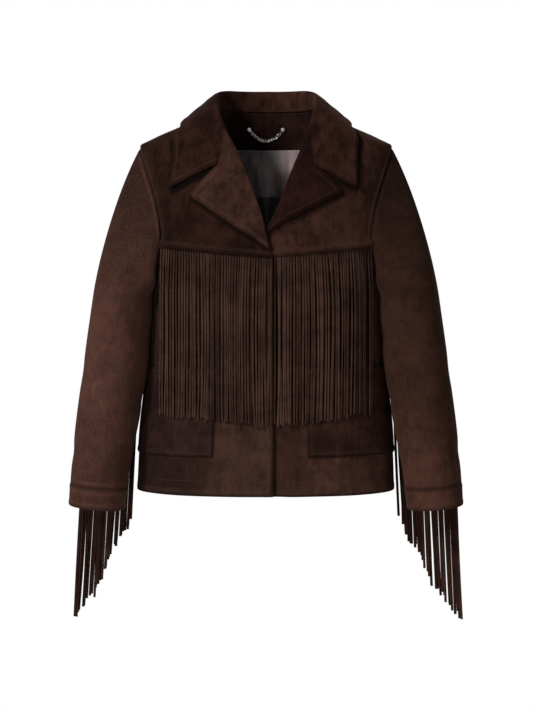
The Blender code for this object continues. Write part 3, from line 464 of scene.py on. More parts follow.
def row_at(cloth, edge, distance, start=0.0, end=1.0):
    """Points and normals along a cloth at a distance in from one of its edges."""
    grids = list(cloth)
    if edge in "bt":
        grids = [grid.swapaxes(0, 1) for grid in grids]
    if edge in "rt":
        grids = [grid[:, ::-1] for grid in grids]
    run = lengths(grids[0], 1)
    line, lean = (np.array([[np.interp(distance, run[k], row[:, i]) for i in range(3)]
                            for k, row in enumerate(grid)]) for grid in grids)
    last = len(line) - 1
    sewn = slice(int(start * last), int(end * last) + 1)
    return line[sewn], unit(lean)[sewn]


# ---- body panels -------------------------------------------------------------------
def side_height(row):
    """Height of the side seam at one of the model's rows, counted up from the hem."""
    return np.interp(row, range(SIDE_TOP + 1), SIDE_HEIGHTS)


def side_and_armhole(side, row, turn):
    """Angle and height up the side seam, and then round the armhole."""
    arm_angle, arm_height = armhole(side, turn)
    below = row <= SIDE_TOP
    return np.where(below, side * 90.0, arm_angle), np.where(below, side_height(row), arm_height)


def front_centre_heights():
    level = [height for height in SIDE_HEIGHTS if height <= POCKET_TOP]
    steps = len(SIDE_HEIGHTS) + FRONT_STEPS - len(level)
    return level + [mix(POCKET_TOP, YOKE_SEAM_CENTRE, (k + 1) / steps) for k in range(steps)]


def front_place(side, row, share):
    """Angle and height on a front, at a share of the way from the side to the closing."""
    turn = mix(180.0, YOKE_TURN, np.clip((row - SIDE_TOP) / FRONT_STEPS, 0.0, 1.0))
    angle, height = side_and_armhole(side, row, turn)
    heights = front_centre_heights()
    centre_height = np.interp(row, range(len(heights)), heights)
    centre_angle = angle_at(CLOSING_X[side], centre_height)
    return mix(angle, centre_angle, share), mix(height, centre_height, share)


def pocket_share(side):
    return (90.0 - POCKET_ANGLE[side]) / (90.0 - side * angle_at(CLOSING_X[side], HEM))


def front_grid(side, rows, columns, lift=0.0, low=0, high=SIDE_TOP + FRONT_STEPS, reach=1.0):
    heights = np.linspace(side_height(low), side_height(min(high, SIDE_TOP)), rows)
    row = np.interp(heights, SIDE_HEIGHTS, range(SIDE_TOP + 1))
    if high > SIDE_TOP:
        row = np.concatenate([row, np.linspace(SIDE_TOP, high, rows // 3)[1:]])
    angle, height = front_place(side, row[:, None], np.linspace(0.0, reach, columns)[None, :])
    return body_point(angle, height, lift, side)


def yoke_grid(side, rows, columns):
    turn = np.linspace(YOKE_TURN, 0.0, rows)
    arm_angle, arm_height = armhole(side, turn)
    neck_x, neck_height = neck_edge(side, (YOKE_TURN - turn) / YOKE_TURN)
    share = np.linspace(0.0, 1.0, columns)[None, :]
    angle = mix(arm_angle[:, None], angle_at(neck_x, neck_height)[:, None], share)
    height = mix(arm_height[:, None], neck_height[:, None], share)
    return body_point(angle, height, 0.0, side)


def back_grid(rows, columns, lift=0.0, inset=0.0, low=0, high=math.inf):
    ends = SIDE_TOP, SIDE_TOP + BACK_STEPS, SIDE_TOP + BACK_STEPS + SHOULDER_STEPS
    row = np.concatenate([np.linspace(low, ends[0], rows // 2)[:-1],
                          np.linspace(ends[0], ends[1], rows // 3),
                          np.linspace(ends[1], ends[2], rows // 6)[1:]])
    row = row[row <= high]
    turn = mix(180.0, 360.0, np.clip((row - SIDE_TOP) / BACK_STEPS, 0.0, 1.0))
    angle, height = side_and_armhole(LEFT, row, turn)
    shoulder = (row - SIDE_TOP - BACK_STEPS) / SHOULDER_STEPS
    angle = np.where(shoulder > 0.0, 90.0, angle) + inset
    height = np.where(shoulder > 0.0, SHOULDER_TIP * (1.0 - shoulder), height)
    share = np.linspace(0.0, 1.0, columns)[None, :]
    angle = mix(angle[:, None], 360.0 - angle[:, None], share)
    return body_point(angle, height[:, None] + 0.0 * angle, lift)


def set_back(points, amount=SEAM_SETBACK, edges="lrbt"):
    """Draw a grid's edges inwards, which leaves the gap of a seam."""
    points = points.copy()
    lines = {"b": (points[0], points[1]), "t": (points[-1], points[-2]),
             "l": (points[:, 0], points[:, 1]), "r": (points[:, -1], points[:, -2])}
    for name, (edge, beside) in lines.items():
        if name in edges:
            edge += unit(beside - edge) * amount
    return points


def round_corner(points, edges):
    """Draw a grid's corner in to a round one."""
    p, q = (np.clip(1.0 - edge_distance(points, edge) / CORNER_RADIUS, 0.0, 1.0) for edge in edges)
    shrink = 1.0 - np.maximum(p, q) / np.maximum(np.hypot(p, q), 1e-9)
    up, across = unit(np.gradient(points, axis=0)), unit(np.gradient(points, axis=1))
    into = {"b": up, "t": -up, "l": across, "r": -across}
    return (points + into[edges[0]] * (CORNER_RADIUS * p * shrink)[..., None]
            + into[edges[1]] * (CORNER_RADIUS * q * shrink)[..., None])


# ---- collar and lapels ----------------------------------------------------------------
def off_edge(before, after, normal, inward):
    off = unit(np.cross(after - before, normal))
    return off if off @ inward > 0.0 else -off


def rolled_edge(point, stand, off, height, wall):
    reach = wall + ROLL_GAP
    return [point + off * reach - stand * 0.0004,
            point + off * (reach + 0.0004) + stand * (0.45 * height),
            point + off * (reach - 0.0006) + stand * (0.85 * height),
            point + off * (reach - 0.0026) + stand * height]


def gorge_point(side, share):
    roll_x, roll_height = neck_edge(side, neck_share(side, GORGE_HEIGHT))
    return front_point(mix(roll_x, NOTCH[side][0], share), mix(roll_height, NOTCH[side][1], share),
                       mix(LAPEL_ROLL_LIFT, NOTCH_LIFT, share), side)


def drawn_to(rows, end, power):
    """Rows moved so that the first ends in the given points, and each row after it moves less."""
    rows, steps = np.array(rows), len(rows) - 1
    shift = np.array(end) - rows[0, 3:]
    for k in range(steps + 1):
        rows[k, 3:] += shift * (1.0 - k / steps) ** power
    return rows


def lapel_end_row(side, top):
    row = [top] + [gorge_point(side, share) for share in GORGE_SHARES]
    for share in OUTER_SHARES[3:]:
        t = (share - OUTER_SHARES[2]) / (1.0 - OUTER_SHARES[2])
        swell = LAPEL_TOP_SWELL[side] * math.sin(math.pi * t)
        row.append(front_point(mix(NOTCH[side][0], LAPEL_TIP[side][0], t) + side * 0.6 * swell,
                               mix(NOTCH[side][1], LAPEL_TIP[side][1], t) + 0.8 * swell,
                               mix(NOTCH_LIFT, LAPEL_EDGE_LIFT, t), side))
    return row


def lapel_grid(side, steps=12):
    top, foot = neck_share(side, GORGE_HEIGHT), neck_share(side, LAPEL_FOOT[side])
    rows = []
    for k in range(steps + 1):
        t = k / steps
        share = mix(top, foot, t)
        x, height = neck_edge(side, share)
        before, after = (front_point(*neck_edge(side, share + d), 0.0, side) for d in (-0.01, 0.01))
        point = front_point(x, height, 0.0, side)
        normal = body_normal(angle_at(x, height), height)
        off = off_edge(before, after, normal, np.array((-side, 0.0, 0.3)))
        roll = mix(LAPEL_ROLL_LIFT, LAPEL_FOOT_LIFT, min(1.0, 2.0 * t))
        edge_lift = mix(LAPEL_EDGE_LIFT, LAPEL_FOOT_LIFT, t)
        row = rolled_edge(point, normal, off, roll, SUEDE)
        edge_x, edge_height = curve_through(LAPEL_EDGE[side], t)
        for b in OUTER_SHARES:
            lift = edge_lift + (roll - edge_lift) * (1.0 - b) ** 1.5
            row.append(front_point(mix(x, edge_x, b), mix(height, edge_height, b), lift, side))
        rows.append(row)
    return drawn_to(rows, lapel_end_row(side, rows[0][3]), 3)


def collar_neck(side, share):
    if share < COLLAR_SHOULDER_SHARE:
        start = neck_share(side, GORGE_HEIGHT)
        x, height = neck_edge(side, mix(start, 1.0, share / COLLAR_SHOULDER_SHARE))
        return angle_at(x, height), height
    t = (share - COLLAR_SHOULDER_SHARE) / (1.0 - COLLAR_SHOULDER_SHARE)
    return side * mix(90.0, 180.0, t), 0.0


def collar_section(side, share):
    angle, height = collar_neck(side, share)
    point = body_surface(angle, height)
    around = [body_surface(*collar_neck(side, min(max(share + step, 0.0), 1.0)))
              for step in (-0.01, 0.01)]
    if share > 0.99:
        around[1] = around[0] * (-1.0, 1.0, 1.0)
    upright = ease(share, 0.0, COLLAR_SHOULDER_SHARE)
    stand = unit(mix(body_normal(angle, height), UPWARDS, upright))
    inward = np.array((-side, 0.0, 0.3)) if share < 0.2 else np.array((-point[0], -point[1], 0.0))
    off = off_edge(around[0], around[1], stand, inward)
    section = rolled_edge(point, stand, off, smooth(*COLLAR_FOLD, share), COLLAR_WALL)
    right_angle, left_angle, edge_height, edge_lift = read_curves(COLLAR_EDGE, share)
    edge = body_point(side * (right_angle if side == RIGHT else left_angle), edge_height, edge_lift)
    fold = section[-1]
    for w in OUTER_SHARES:
        section.append(mix(fold, edge, w) + stand * (COLLAR_SWELL * upright * w * (1.0 - w)))
    return section


BODY = tube_tree(body_point(np.arange(0.0, 360.0, 4.0), np.linspace(HEM - 0.03, 0.0, 80)[:, None],
                            SUEDE))


def push_off(points, clearance):
    """Move points out until they stand clear of the body, easing into the push."""
    flat = points.reshape(-1, 3).copy()
    clearance = np.broadcast_to(clearance, points.shape[:-1]).reshape(-1)
    for k, point in enumerate(flat):
        place, normal, _, _ = BODY.find_nearest(Vector(point))
        place, normal = np.array(place), np.array(normal)
        away = (point - place) @ normal
        past = away - clearance[k]
        wanted = clearance[k] + 0.5 * (past + math.hypot(past, 0.0015))
        flat[k] = point + normal * (wanted - away)
    return flat.reshape(points.shape)


def half_collar(side, steps=13):
    sections = np.array([collar_section(side, k / steps) for k in range(steps + 1)])
    end = [sections[0][3]] + [gorge_point(side, share) for share in GORGE_SHARES]
    notch, edge = end[-1], sections[0][-1]
    end += [mix(notch, edge, (share - OUTER_SHARES[2]) / (1.0 - OUTER_SHARES[2]))
            for share in OUTER_SHARES[3:]]
    sections = drawn_to(sections, end, 4)
    sections[:, 4:] = push_off(sections[:, 4:], COLLAR_WALL + 0.0016)
    return sections


# ---- sleeves -----------------------------------------------------------------------
def sleeve_point(side, height, turn, proud=0.0):
    height, turn = together(height, turn)
    x, y, half_width, half_depth, tilt, slope = read_curves(SLEEVE_RINGS, height)
    tilt, around = np.radians(tilt), np.radians(turn)
    proud = proud - creases(SLEEVE_FOLDS, turn, height)
    out, fore = np.cos(around) * (half_width + proud), np.sin(around) * (half_depth + proud)
    return np.stack([side * (x + out * np.cos(tilt) + fore * np.sin(tilt)),
                     y + out * np.sin(tilt) - fore * np.cos(tilt),
                     height + slope * half_width * np.cos(around)], -1)


def sleeve_start(side, turn):
    angle, height = armhole(side, turn)
    normal = body_normal(angle, height)
    edge = body_point(angle, height, SUEDE)
    middle = body_surface(side * 90.0, mix(UNDERARM, SHOULDER_TIP, 0.5))
    off = unit(np.cross(body_surface(*armhole(side, turn + 1.0))
                        - body_surface(*armhole(side, turn - 1.0)), normal))
    off = off * np.sign(((middle - edge) * off).sum(-1, keepdims=True))
    leaving = unit(np.stack(read_curves(SLEEVE_LEAVES, turn), -1)) * (side, 1.0, 1.0)
    drop = np.maximum(0.0, -(leaving * normal).sum(-1, keepdims=True))
    back = np.maximum(0.0, -(leaving * off).sum(-1, keepdims=True))
    return edge + off * (LAYER_GAP + SUEDE * drop) + normal * (0.0005 * back), leaving


def sleeve_grid(side, cap_rows, arm_rows):
    turn = SLEEVE_TURNS
    start, leaving = sleeve_start(side, turn)
    end = sleeve_point(side, BICEPS, turn)
    down = unit(sleeve_point(side, BICEPS - 0.02, turn) - end)
    reach = np.linalg.norm(end - start, axis=-1, keepdims=True)
    t = (np.arange(cap_rows) / cap_rows)[:, None, None]
    cap = hermite(start, end, leaving * reach, down * reach, t)
    swell = np.sin(math.pi * t) ** 2 * bump(turn, HEAD_SWELL_TURN, HEAD_SWELL_WIDE)[:, None]
    cap = cap + swell * (-side * HEAD_SWELL_IN, -HEAD_SWELL_OUT, 0.0)
    clear = BODY_CLEARANCE * ease(t[..., 0], 0.0, 0.35) + 0.0 * turn
    pushed = push_off(cap[1:], clear[1:])
    heights = np.linspace(BICEPS, CUFF_SEAM, arm_rows)
    arm = push_off(sleeve_point(side, heights[:, None], turn), BODY_CLEARANCE)
    return np.concatenate([cap[:1], pushed, arm])


# ---- node trees ----------------------------------------------------------------------
class Socket:
    """An output in a node tree. Sums, differences and products of outputs add Math nodes."""

    def __init__(self, tree, socket=None):
        self.tree, self.socket = tree, socket

    def node(self, kind, settings=(), inputs=(), out=0):
        made = self.tree.nodes.new(kind)
        for name, value in dict(settings).items():
            setattr(made, name, value)
        for name, value in dict(inputs).items():
            if isinstance(value, Socket):
                self.tree.links.new(value.socket, made.inputs[name])
            else:
                made.inputs[name].default_value = value
        return Socket(self.tree, made.outputs[out])

    def to(self, other, name):
        self.tree.links.new(self.socket, other.inputs[name])

    def part(self, axis):
        return self.node("ShaderNodeSeparateXYZ", {}, {0: self}, out=axis)

    def math(self, operation, a, b):
        return self.node("ShaderNodeMath", {"operation": operation}, {0: a, 1: b})

    def __add__(self, other):
        return self.math("ADD", self, other)

    def __sub__(self, other):
        return self.math("SUBTRACT", self, other)

    def __rsub__(self, other):
        return self.math("SUBTRACT", other, self)

    def __mul__(self, other):
        return self.math("MULTIPLY", self, other)


def new_material(name, roughness, **constants):
    made = bpy.data.materials.new(name)
    made.use_nodes = True
    shader = made.node_tree.nodes["Principled BSDF"]
    shader.inputs["Roughness"].default_value = roughness
    for socket, value in constants.items():
        shader.inputs[socket.replace("_", " ")].default_value = value
    return made, Socket(made.node_tree), shader


def noise(place, scale, detail=2.0, stretch=None, roughness=0.5):
    if stretch is not None:
        place = place.node("ShaderNodeMapping", {}, {"Vector": place, "Scale": stretch})
    return place.node("ShaderNodeTexNoise", {}, {"Vector": place, "Scale": scale, "Detail": detail,
                                                 "Roughness": roughness})


def spread(value, low, high, new_low=0.0, new_high=1.0):
    return value.node("ShaderNodeMapRange", {"interpolation_type": "SMOOTHSTEP"},
                      {0: value, 1: low, 2: high, 3: new_low, 4: new_high})


def blend(factor, a, b):
    return factor.node("ShaderNodeMix", {"data_type": "RGBA"}, {0: factor, 6: a, 7: b}, out=2)


def scaled(colour, factor):
    return colour.node("ShaderNodeVectorMath", {"operation": "SCALE"}, {0: colour, "Scale": factor})


def point_value(tree, name):
    return tree.node("ShaderNodeAttribute", {"attribute_name": name}, out=2)


def times(colour, factor):
    return tuple(min(1.0, factor * part) for part in colour) + (1.0,)


def suede(name, brown, top=0.0, foot=0.0, mottle=1.0, aside=None, tone=False):
    """Brushed suede round one brown: cloudy nap, with painted shade in stitched grooves, at its top
    and foot, and rubbed wear with a painted highlight on the roll by its edges.

    aside gives two places across the jacket and the brightness of painted light and shade at each."""
    made, tree, shader = new_material(name, 0.95, Sheen_Weight=0.04, Sheen_Roughness=0.5,
                                      Sheen_Tint=(0.85, 0.5, 0.38, 1.0), Specular_IOR_Level=0.04)
    place = tree.node("ShaderNodeTexCoord", out=3)
    clouds = noise(place, 10.0)
    patches = noise(place, 36.0, 3.0, stretch=(1.0, 1.0, 1.1))
    strokes = noise(place, 130.0, 4.0, stretch=(1.0, 1.0, 0.45), roughness=0.6)
    grain = noise(place, 620.0)
    cloud = spread(clouds * 0.32 + patches * 0.36 + strokes * 0.32, 0.38, 0.62)
    colour = blend(cloud, times(brown, 1.0 - 0.42 * mottle), times(brown, 1.0 + 0.42 * mottle))
    height = place.part(2)
    # Painted shade: darker towards the top and the foot of each piece.
    shade = spread(height, *TOP_SHADE, 1.0, 1.0 - top) - spread(height, *FOOT_SHADE, foot, 0.0)
    # Painted light and shade across the jacket, lighter on one side than the other.
    if aside is not None:
        shade = shade * spread(place.part(0), *aside)
    # Painted shadow under the collar, lapels and fringe, and painted light on the collar's stand,
    # from each piece's shade values.
    if not tone:
        shade = shade * (1.0 - point_value(tree, "shade"))
    colour = blend(spread(grain, 0.40, 0.72, 0.0, 0.30), scaled(colour, shade), times(brown, 2.1))
    # Fringe strands darken by their tone values: random darkening and painted shade.
    if tone:
        colour = blend(point_value(tree, "tone"), colour, times(brown, 0.25))
    else:
        # Painted shade: darker in the grooves by seams and edges.
        seam = point_value(tree, "seam")
        colour = blend(spread(seam, 0.0005, 0.0060, 0.5, 0.0), colour, times(brown, 0.3))
        # Rubbed wear and a painted highlight: lighter on the roll of a turned edge.
        worn = noise(place, 60.0) * 0.9 - 0.15
        ridge_highlight = spread(seam, 0.0030, 0.0070, 0.0, 0.5) * spread(seam, 0.0074, 0.0125, 1.0, 0.0)
        colour = blend(ridge_highlight * worn, colour, times(brown, 2.4))
    colour.to(shader, "Base Color")
    relief = grain * 0.35 + noise(place, 1500.0, 1.0) * 0.4 + strokes * 0.9 + patches * 1.5
    tree.node("ShaderNodeBump", {}, {"Strength": 0.5, "Distance": 0.0012,
                                     "Height": relief}).to(shader, "Normal")
    return made


def plain(name, colour, roughness, **constants):
    """A plain finish, a little uneven."""
    made, tree, shader = new_material(name, roughness, **constants)
    mottle = spread(noise(tree.node("ShaderNodeTexCoord", out=3), 90.0, 3.0), 0.3, 0.7)
    blend(mottle, times(colour, 0.8), times(colour, 1.2)).to(shader, "Base Color")
    return made


def satin():
    """Lining satin in long soft bands of painted sheen, with painted shade under the facing and a
    painted shadow down its left side.
    """
    made, tree, shader = new_material("satin", 0.36, Sheen_Weight=0.2)
    place = tree.node("ShaderNodeTexCoord", out=3)
    # Painted sheen: long soft light and dark bands down the satin.
    painted_sheen = spread(noise(place, 34.0, 3.0, stretch=(1.0, 1.0, 0.22)), 0.36, 0.64)
    colour = blend(painted_sheen, (0.185, 0.137, 0.143, 1.0), (0.540, 0.405, 0.415, 1.0))
    across, up = place.part(0), place.part(2)
    # Painted shade under the facing, and a painted shadow down the left side.
    shade = (spread(across + up * 0.35, -0.060, -0.020, 0.28, 1.0)
             * spread(up, -0.100, -0.066, 1.0, 0.50))
    scaled(colour, shade).to(shader, "Base Color")
    return made


# piece, its brown (the suede's colour, lighter or darker piece by piece as painted light and
# shade), painted shade at its top and its foot, how cloudy, painted light across
DRESS = {name: suede(name + "_suede", *values) for name, *values in (
    ("back", (0.0360, 0.0162, 0.0114), 0.3, 0.2, 0.9),
    ("front_right", (0.0340, 0.0160, 0.0114), 0.0, 0.05, 1.0, (-0.130, -0.050, 0.32, 1.00)),
    ("front_left", (0.0215, 0.0094, 0.0068), 0.0, -0.30, 1.0, (0.030, 0.100, 0.80, 1.70)),
    ("yoke_right", (0.0120, 0.0045, 0.0029), 0.0, 0.0, 1.4),
    ("yoke_left", (0.0265, 0.0107, 0.0072), 0.0, 0.0, 1.4),
    ("lapel_right", (0.0252, 0.0108, 0.0074), 0.0, 0.0, 1.4),
    ("lapel_left", (0.0104, 0.0034, 0.0026), 0.0, 0.0, 1.5),
    ("collar", (0.0152, 0.0056, 0.0038), 0.0, 0.0, 1.5, (-0.060, 0.060, 0.74, 1.24)),
    ("back_neck_facing", (0.0140, 0.0055, 0.0044), 0.0, 0.0, 1.4),
    ("sleeve_right", (0.0540, 0.0232, 0.0168), 0.80, 0.30, 0.7),
    ("sleeve_left", (0.0246, 0.0104, 0.0069), 0.45, -0.8, 0.8),
    ("pocket_right", (0.0150, 0.0068, 0.0055), 0.0, 0.0, 1.3),
    ("pocket_left", (0.0195, 0.0082, 0.0061), 0.0, 0.0, 1.3))}
# The front fringe's strands darken towards their top, as painted shade under the yoke.
DRESS["fringe_front"] = suede("front_fringe_suede", (0.0400, 0.0205, 0.0150), 0.2, tone=True)
DRESS["fringe_sleeve"] = suede("sleeve_fringe_suede", (0.0280, 0.0125, 0.0092), tone=True)
SATIN = satin()
BLACK = plain("black_weave", (0.004, 0.004, 0.004), 0.65)
STEEL = plain("polished_steel", (0.86, 0.85, 0.82), 0.20, Metallic=1.0)
THREAD = plain("brown_thread", (0.028, 0.013, 0.010), 0.7)


# ---- what repeats: Geometry Nodes ------------------------------------------------------
def new_tree(name, inputs):
    tree = bpy.data.node_groups.new(name, "GeometryNodeTree")
    tree.interface.new_socket("Geometry", in_out="INPUT", socket_type="NodeSocketGeometry")
    for label, kind, value in inputs:
        socket = tree.interface.new_socket(label, in_out="INPUT", socket_type=kind)
        if value is not None:
            socket.default_value = value
    tree.interface.new_socket("Geometry", in_out="OUTPUT", socket_type="NodeSocketGeometry")
    begin = tree.nodes.new("NodeGroupInput")
    given = {socket.name: Socket(tree, socket) for socket in begin.outputs if socket.name}
    return tree, Socket(tree), given


def end_tree(tree, geometry, material):
    made = Socket(tree)
    real = made.node("GeometryNodeRealizeInstances", {}, {0: geometry})
    soft = made.node("GeometryNodeSetShadeSmooth", {}, {0: real})
    dressed = made.node("GeometryNodeSetMaterial", {}, {"Geometry": soft, "Material": material})
    dressed.to(tree.nodes.new("NodeGroupOutput"), 0)
    return tree


def named(made, name, kind):
    return made.node("GeometryNodeInputNamedAttribute", {"data_type": kind}, {"Name": name})


def circle(made, resolution, radius):
    return made.node("GeometryNodeCurvePrimitiveCircle", {"mode": "RADIUS"},
                     {"Resolution": resolution, "Radius": radius})


def along(made, geometry, pitch):
    """Evenly spaced points on a path, turned along it with their Z on the cloth's normal."""
    path = made.node("GeometryNodeMeshToCurve", {}, {0: geometry})
    points = made.node("GeometryNodeResampleCurve", {"mode": "LENGTH"}, {0: path, "Length": pitch})
    tangent = made.node("GeometryNodeInputTangent")
    lean = named(made, "lean", "FLOAT_VECTOR")
    turn = made.node("FunctionNodeAlignRotationToVector", {"axis": "X"}, {"Vector": tangent})
    turn = made.node("FunctionNodeAlignRotationToVector", {"axis": "Z", "pivot_axis": "X"},
                     {"Rotation": turn, "Vector": lean})
    return points, turn


def stitch_tree():
    tree, made, given = new_tree("stitches", (
        ("Pitch", "NodeSocketFloat", 0.0034), ("Stitch Length", "NodeSocketFloat", 0.0026),
        ("Thread Radius", "NodeSocketFloat", 0.00026), ("Thread", "NodeSocketMaterial", None)))
    points, turn = along(made, given["Geometry"], given["Pitch"])
    bead = made.node("GeometryNodeMeshUVSphere", {}, {"Segments": 6, "Rings": 4, "Radius": 1.0})
    half_length, radius = given["Stitch Length"] * 0.5, given["Thread Radius"]
    size = made.node("ShaderNodeCombineXYZ", {}, {0: half_length, 1: radius, 2: radius})
    rows = made.node("GeometryNodeInstanceOnPoints", {}, {"Points": points, "Instance": bead,
                                                          "Rotation": turn, "Scale": size})
    return end_tree(tree, rows, given["Thread"])


def link_tree():
    """Twisted oval links, each through the next one's end."""
    tree, made, given = new_tree("chain_links", (
        ("Pitch", "NodeSocketFloat", 0.0046), ("Link Length", "NodeSocketFloat", 0.0052),
        ("Link Width", "NodeSocketFloat", 0.0040), ("Wire Radius", "NodeSocketFloat", 0.00038),
        ("Twist", "NodeSocketFloat", 0.0012), ("Metal", "NodeSocketMaterial", None)))
    points, turn = along(made, given["Geometry"], given["Pitch"])
    place = made.node("GeometryNodeInputPosition")
    x, y = place.part(0), place.part(1)
    oval = made.node("ShaderNodeCombineXYZ", {}, {0: x * given["Link Length"] * 0.5,
                                                  1: y * given["Link Width"] * 0.5,
                                                  2: x * y * given["Twist"] * 2.0})
    ring, wire = circle(made, 24, 1.0), circle(made, 8, given["Wire Radius"])
    link = made.node("GeometryNodeSetPosition", {}, {"Geometry": ring, "Position": oval})
    link = made.node("GeometryNodeCurveToMesh", {}, {"Curve": link, "Profile Curve": wire})
    rows = made.node("GeometryNodeInstanceOnPoints", {}, {"Points": points, "Instance": link,
                                                          "Rotation": turn})
    return end_tree(tree, rows, given["Metal"])


def strand_tree():
    tree, made, given = new_tree("fringe_strands", (
        ("Thickness", "NodeSocketFloat", 0.34), ("Corner", "NodeSocketFloat", 0.09),
        ("Suede", "NodeSocketMaterial", None)))
    path = made.node("GeometryNodeMeshToCurve", {}, {0: given["Geometry"]})
    path = made.node("GeometryNodeSetCurveNormal", {"mode": "FREE"},
                     {0: path, "Normal": named(made, "lean", "FLOAT_VECTOR")})
    outline = made.node("GeometryNodeCurvePrimitiveQuadrilateral", {"mode": "RECTANGLE"},
                        {"Width": given["Thickness"], "Height": 1.0})
    outline = made.node("GeometryNodeFilletCurve", {"mode": "POLY"},
                        {"Curve": outline, "Count": 1, "Radius": given["Corner"]})
    strands = made.node("GeometryNodeCurveToMesh", {}, {"Curve": path, "Profile Curve": outline,
                                                        "Scale": named(made, "width", "FLOAT"),
                                                        "Fill Caps": True})
    return end_tree(tree, strands, given["Suede"])


def path_object(name, paths, **more):
    """Open paths as edges, each point with the cloth's normal and what more is given, by name."""
    edges, base = [], 0
    for path, _ in paths:
        edges += [(base + k, base + k + 1) for k in range(len(path) - 1)]
        base += len(path)
    mesh = bpy.data.meshes.new(name)
    mesh.from_pydata(np.concatenate([path for path, _ in paths]).tolist(), edges, [])
    add_values(mesh, "lean", np.concatenate([lean for _, lean in paths]))
    for label, values in more.items():
        add_values(mesh, label, np.concatenate(values))
    return add_object(name, mesh)


def grown(name, piece, tree, material_input, material, **sizes):
    """Run a node tree on a path and keep its result as a plain mesh."""
    modifier = piece.modifiers.new(tree.name, "NODES")
    modifier.node_group = tree
    names = {socket.name: socket.identifier for socket in tree.interface.items_tree
             if socket.in_out == "INPUT"}
    for label, value in {material_input: material, **sizes}.items():
        modifier[names[label]] = value
    graph = bpy.context.evaluated_depsgraph_get()
    mesh = bpy.data.meshes.new_from_object(piece.evaluated_get(graph), depsgraph=graph)
    bpy.data.objects.remove(piece)
    PIECES[name] = add_object(name, mesh)


# ---- dressing the body ------------------------------------------------------------------
def sew(name, cloth, *rows):
    """Rows of stitches on a cloth: an edge, the distance in from it, and the part that is sewn."""
    lines = [row_at(cloth, *row) for row in rows]
    grown(name, path_object(name, [(line + lean * 0.0002, lean) for line, lean in lines]),
          STITCHES, "Thread", THREAD)


def hem_groove(points):
    """Depth of the groove that the hem's stitches draw in."""
    return 0.00045 * bump(lengths(points, 0), HEM_TURNING, 0.0012)


def make_back():
    points = set_back(back_grid(200, 165))
    cloth = shell("back", points, SUEDE, ["collar"], lift=SUEDE - hem_groove(points),
                  seam=edge_distance(points, "lrb"))
    sew("back_hem_stitches", cloth, ("b", HEM_TURNING))


def make_front(side, word):
    points = set_back(np.concatenate([front_grid(side, 130, 98), yoke_grid(side, 40, 98)[1:3]]))
    edge = edge_distance(points, "br")
    lift = SUEDE + turned_edge(edge, 0.0060, 0.0005) * ease(edge_distance(points, "b"), 0.0, 0.001)
    cloth = shell("front_" + word, points, SUEDE, ["yoke_" + word], flip=side == LEFT,
                  lift=lift - hem_groove(points), seam=edge)
    rows = [("b", HEM_TURNING), ("b", HEM_EDGE)]
    if side == RIGHT:
        rows += [("r", distance, 0.0, 0.96) for distance in CLOSING_STITCHES]
    sew("hem_stitches_" + word, cloth, *rows)


def make_yoke(side, word):
    points = set_back(yoke_grid(side, 80, 98))
    up, arm = lengths(points, 0), edge_distance(points, "l")
    over_fringe = SUEDE + FRINGE_WALL + 4 * LAYER_GAP
    lift = SUEDE + over_fringe * (1.0 - ease(up, 0.0045, 0.0150))
    lift = lift + turned_edge(edge_distance(points, "b"), YOKE_STITCHES[0], 0.0006)
    lift = lift - 0.0004 * bump(up, YOKE_STITCHES[1], 0.0010)
    lift = lift - 0.0012 * (1.0 - ease(arm, 0.0, 0.0025)) + 0.0006 * bump(arm, 0.0050, 0.0022)
    cloth = shell("yoke_" + word, points, SUEDE, ["back"], flip=side == LEFT, lift=lift,
                  seam=edge_distance(points, "lb"))
    sew("yoke_stitches_" + word, cloth, *[("b", distance) for distance in YOKE_STITCHES],
        *[("l", distance) for distance in ARM_STITCHES])


def make_pocket(side, word):
    points = front_grid(side, 70, 80, SUEDE + LAYER_GAP, *POCKET_ROWS, pocket_share(side))
    points = set_back(points, 0.0008)
    edge = edge_distance(points, "rbt")
    lift = POCKET_WALL + turned_edge(edge, POCKET_EDGE, 0.0012)
    lift = lift + 0.0012 * bump(edge_distance(points, "t"), 0.0, 0.0200)
    cloth = shell("pocket_" + word, points, POCKET_WALL, ["front_" + word], flip=side == LEFT,
                  lift=lift, seam=edge)
    sew("pocket_stitches_" + word, cloth, ("b", POCKET_EDGE), ("r", POCKET_EDGE),
        ("t", POCKET_MOUTH), ("t", POCKET_EDGE))


def free_edge(points, ends, beyond):
    """Distance in from a free edge, and from the ends too beyond a share of the way to it."""
    free, run = edge_distance(points, "r"), lengths(points, 1)
    return np.where(run > beyond * run[:, -1:], np.minimum(free, edge_distance(points, ends)), free)


def make_lapel(side, word):
    points = round_corner(set_back(refine(lapel_grid(side), 104, 96), ROLL_SETBACK), "br")
    free = free_edge(points, "b", 0.45)
    cloth = shell("lapel_" + word, points, SUEDE, ["yoke_" + word], flip=side == LEFT,
                  lift=turned_edge(free, EDGE_BAND, 0.0015), seam=free)
    sew("lapel_stitches_" + word, cloth, ("r", EDGE_BAND, 0.07, 0.98), ("b", EDGE_BAND, 0.56, 0.93))


def make_collar():
    right, left = half_collar(RIGHT), half_collar(LEFT)
    points = refine(np.concatenate([right, left[-2::-1]]), 250, 80, "bt")
    points = round_corner(round_corner(set_back(points, ROLL_SETBACK), "br"), "tr")
    free = free_edge(points, "bt", 0.42)
    cloth = shell("collar", points, COLLAR_WALL, ["back"], flip=True,
                  lift=turned_edge(free, EDGE_BAND, 0.0015), seam=free)
    sew("collar_stitches", cloth, ("r", EDGE_BAND, 0.02, 0.98), ("b", EDGE_BAND, 0.52, 0.93),
        ("t", EDGE_BAND, 0.52, 0.93))


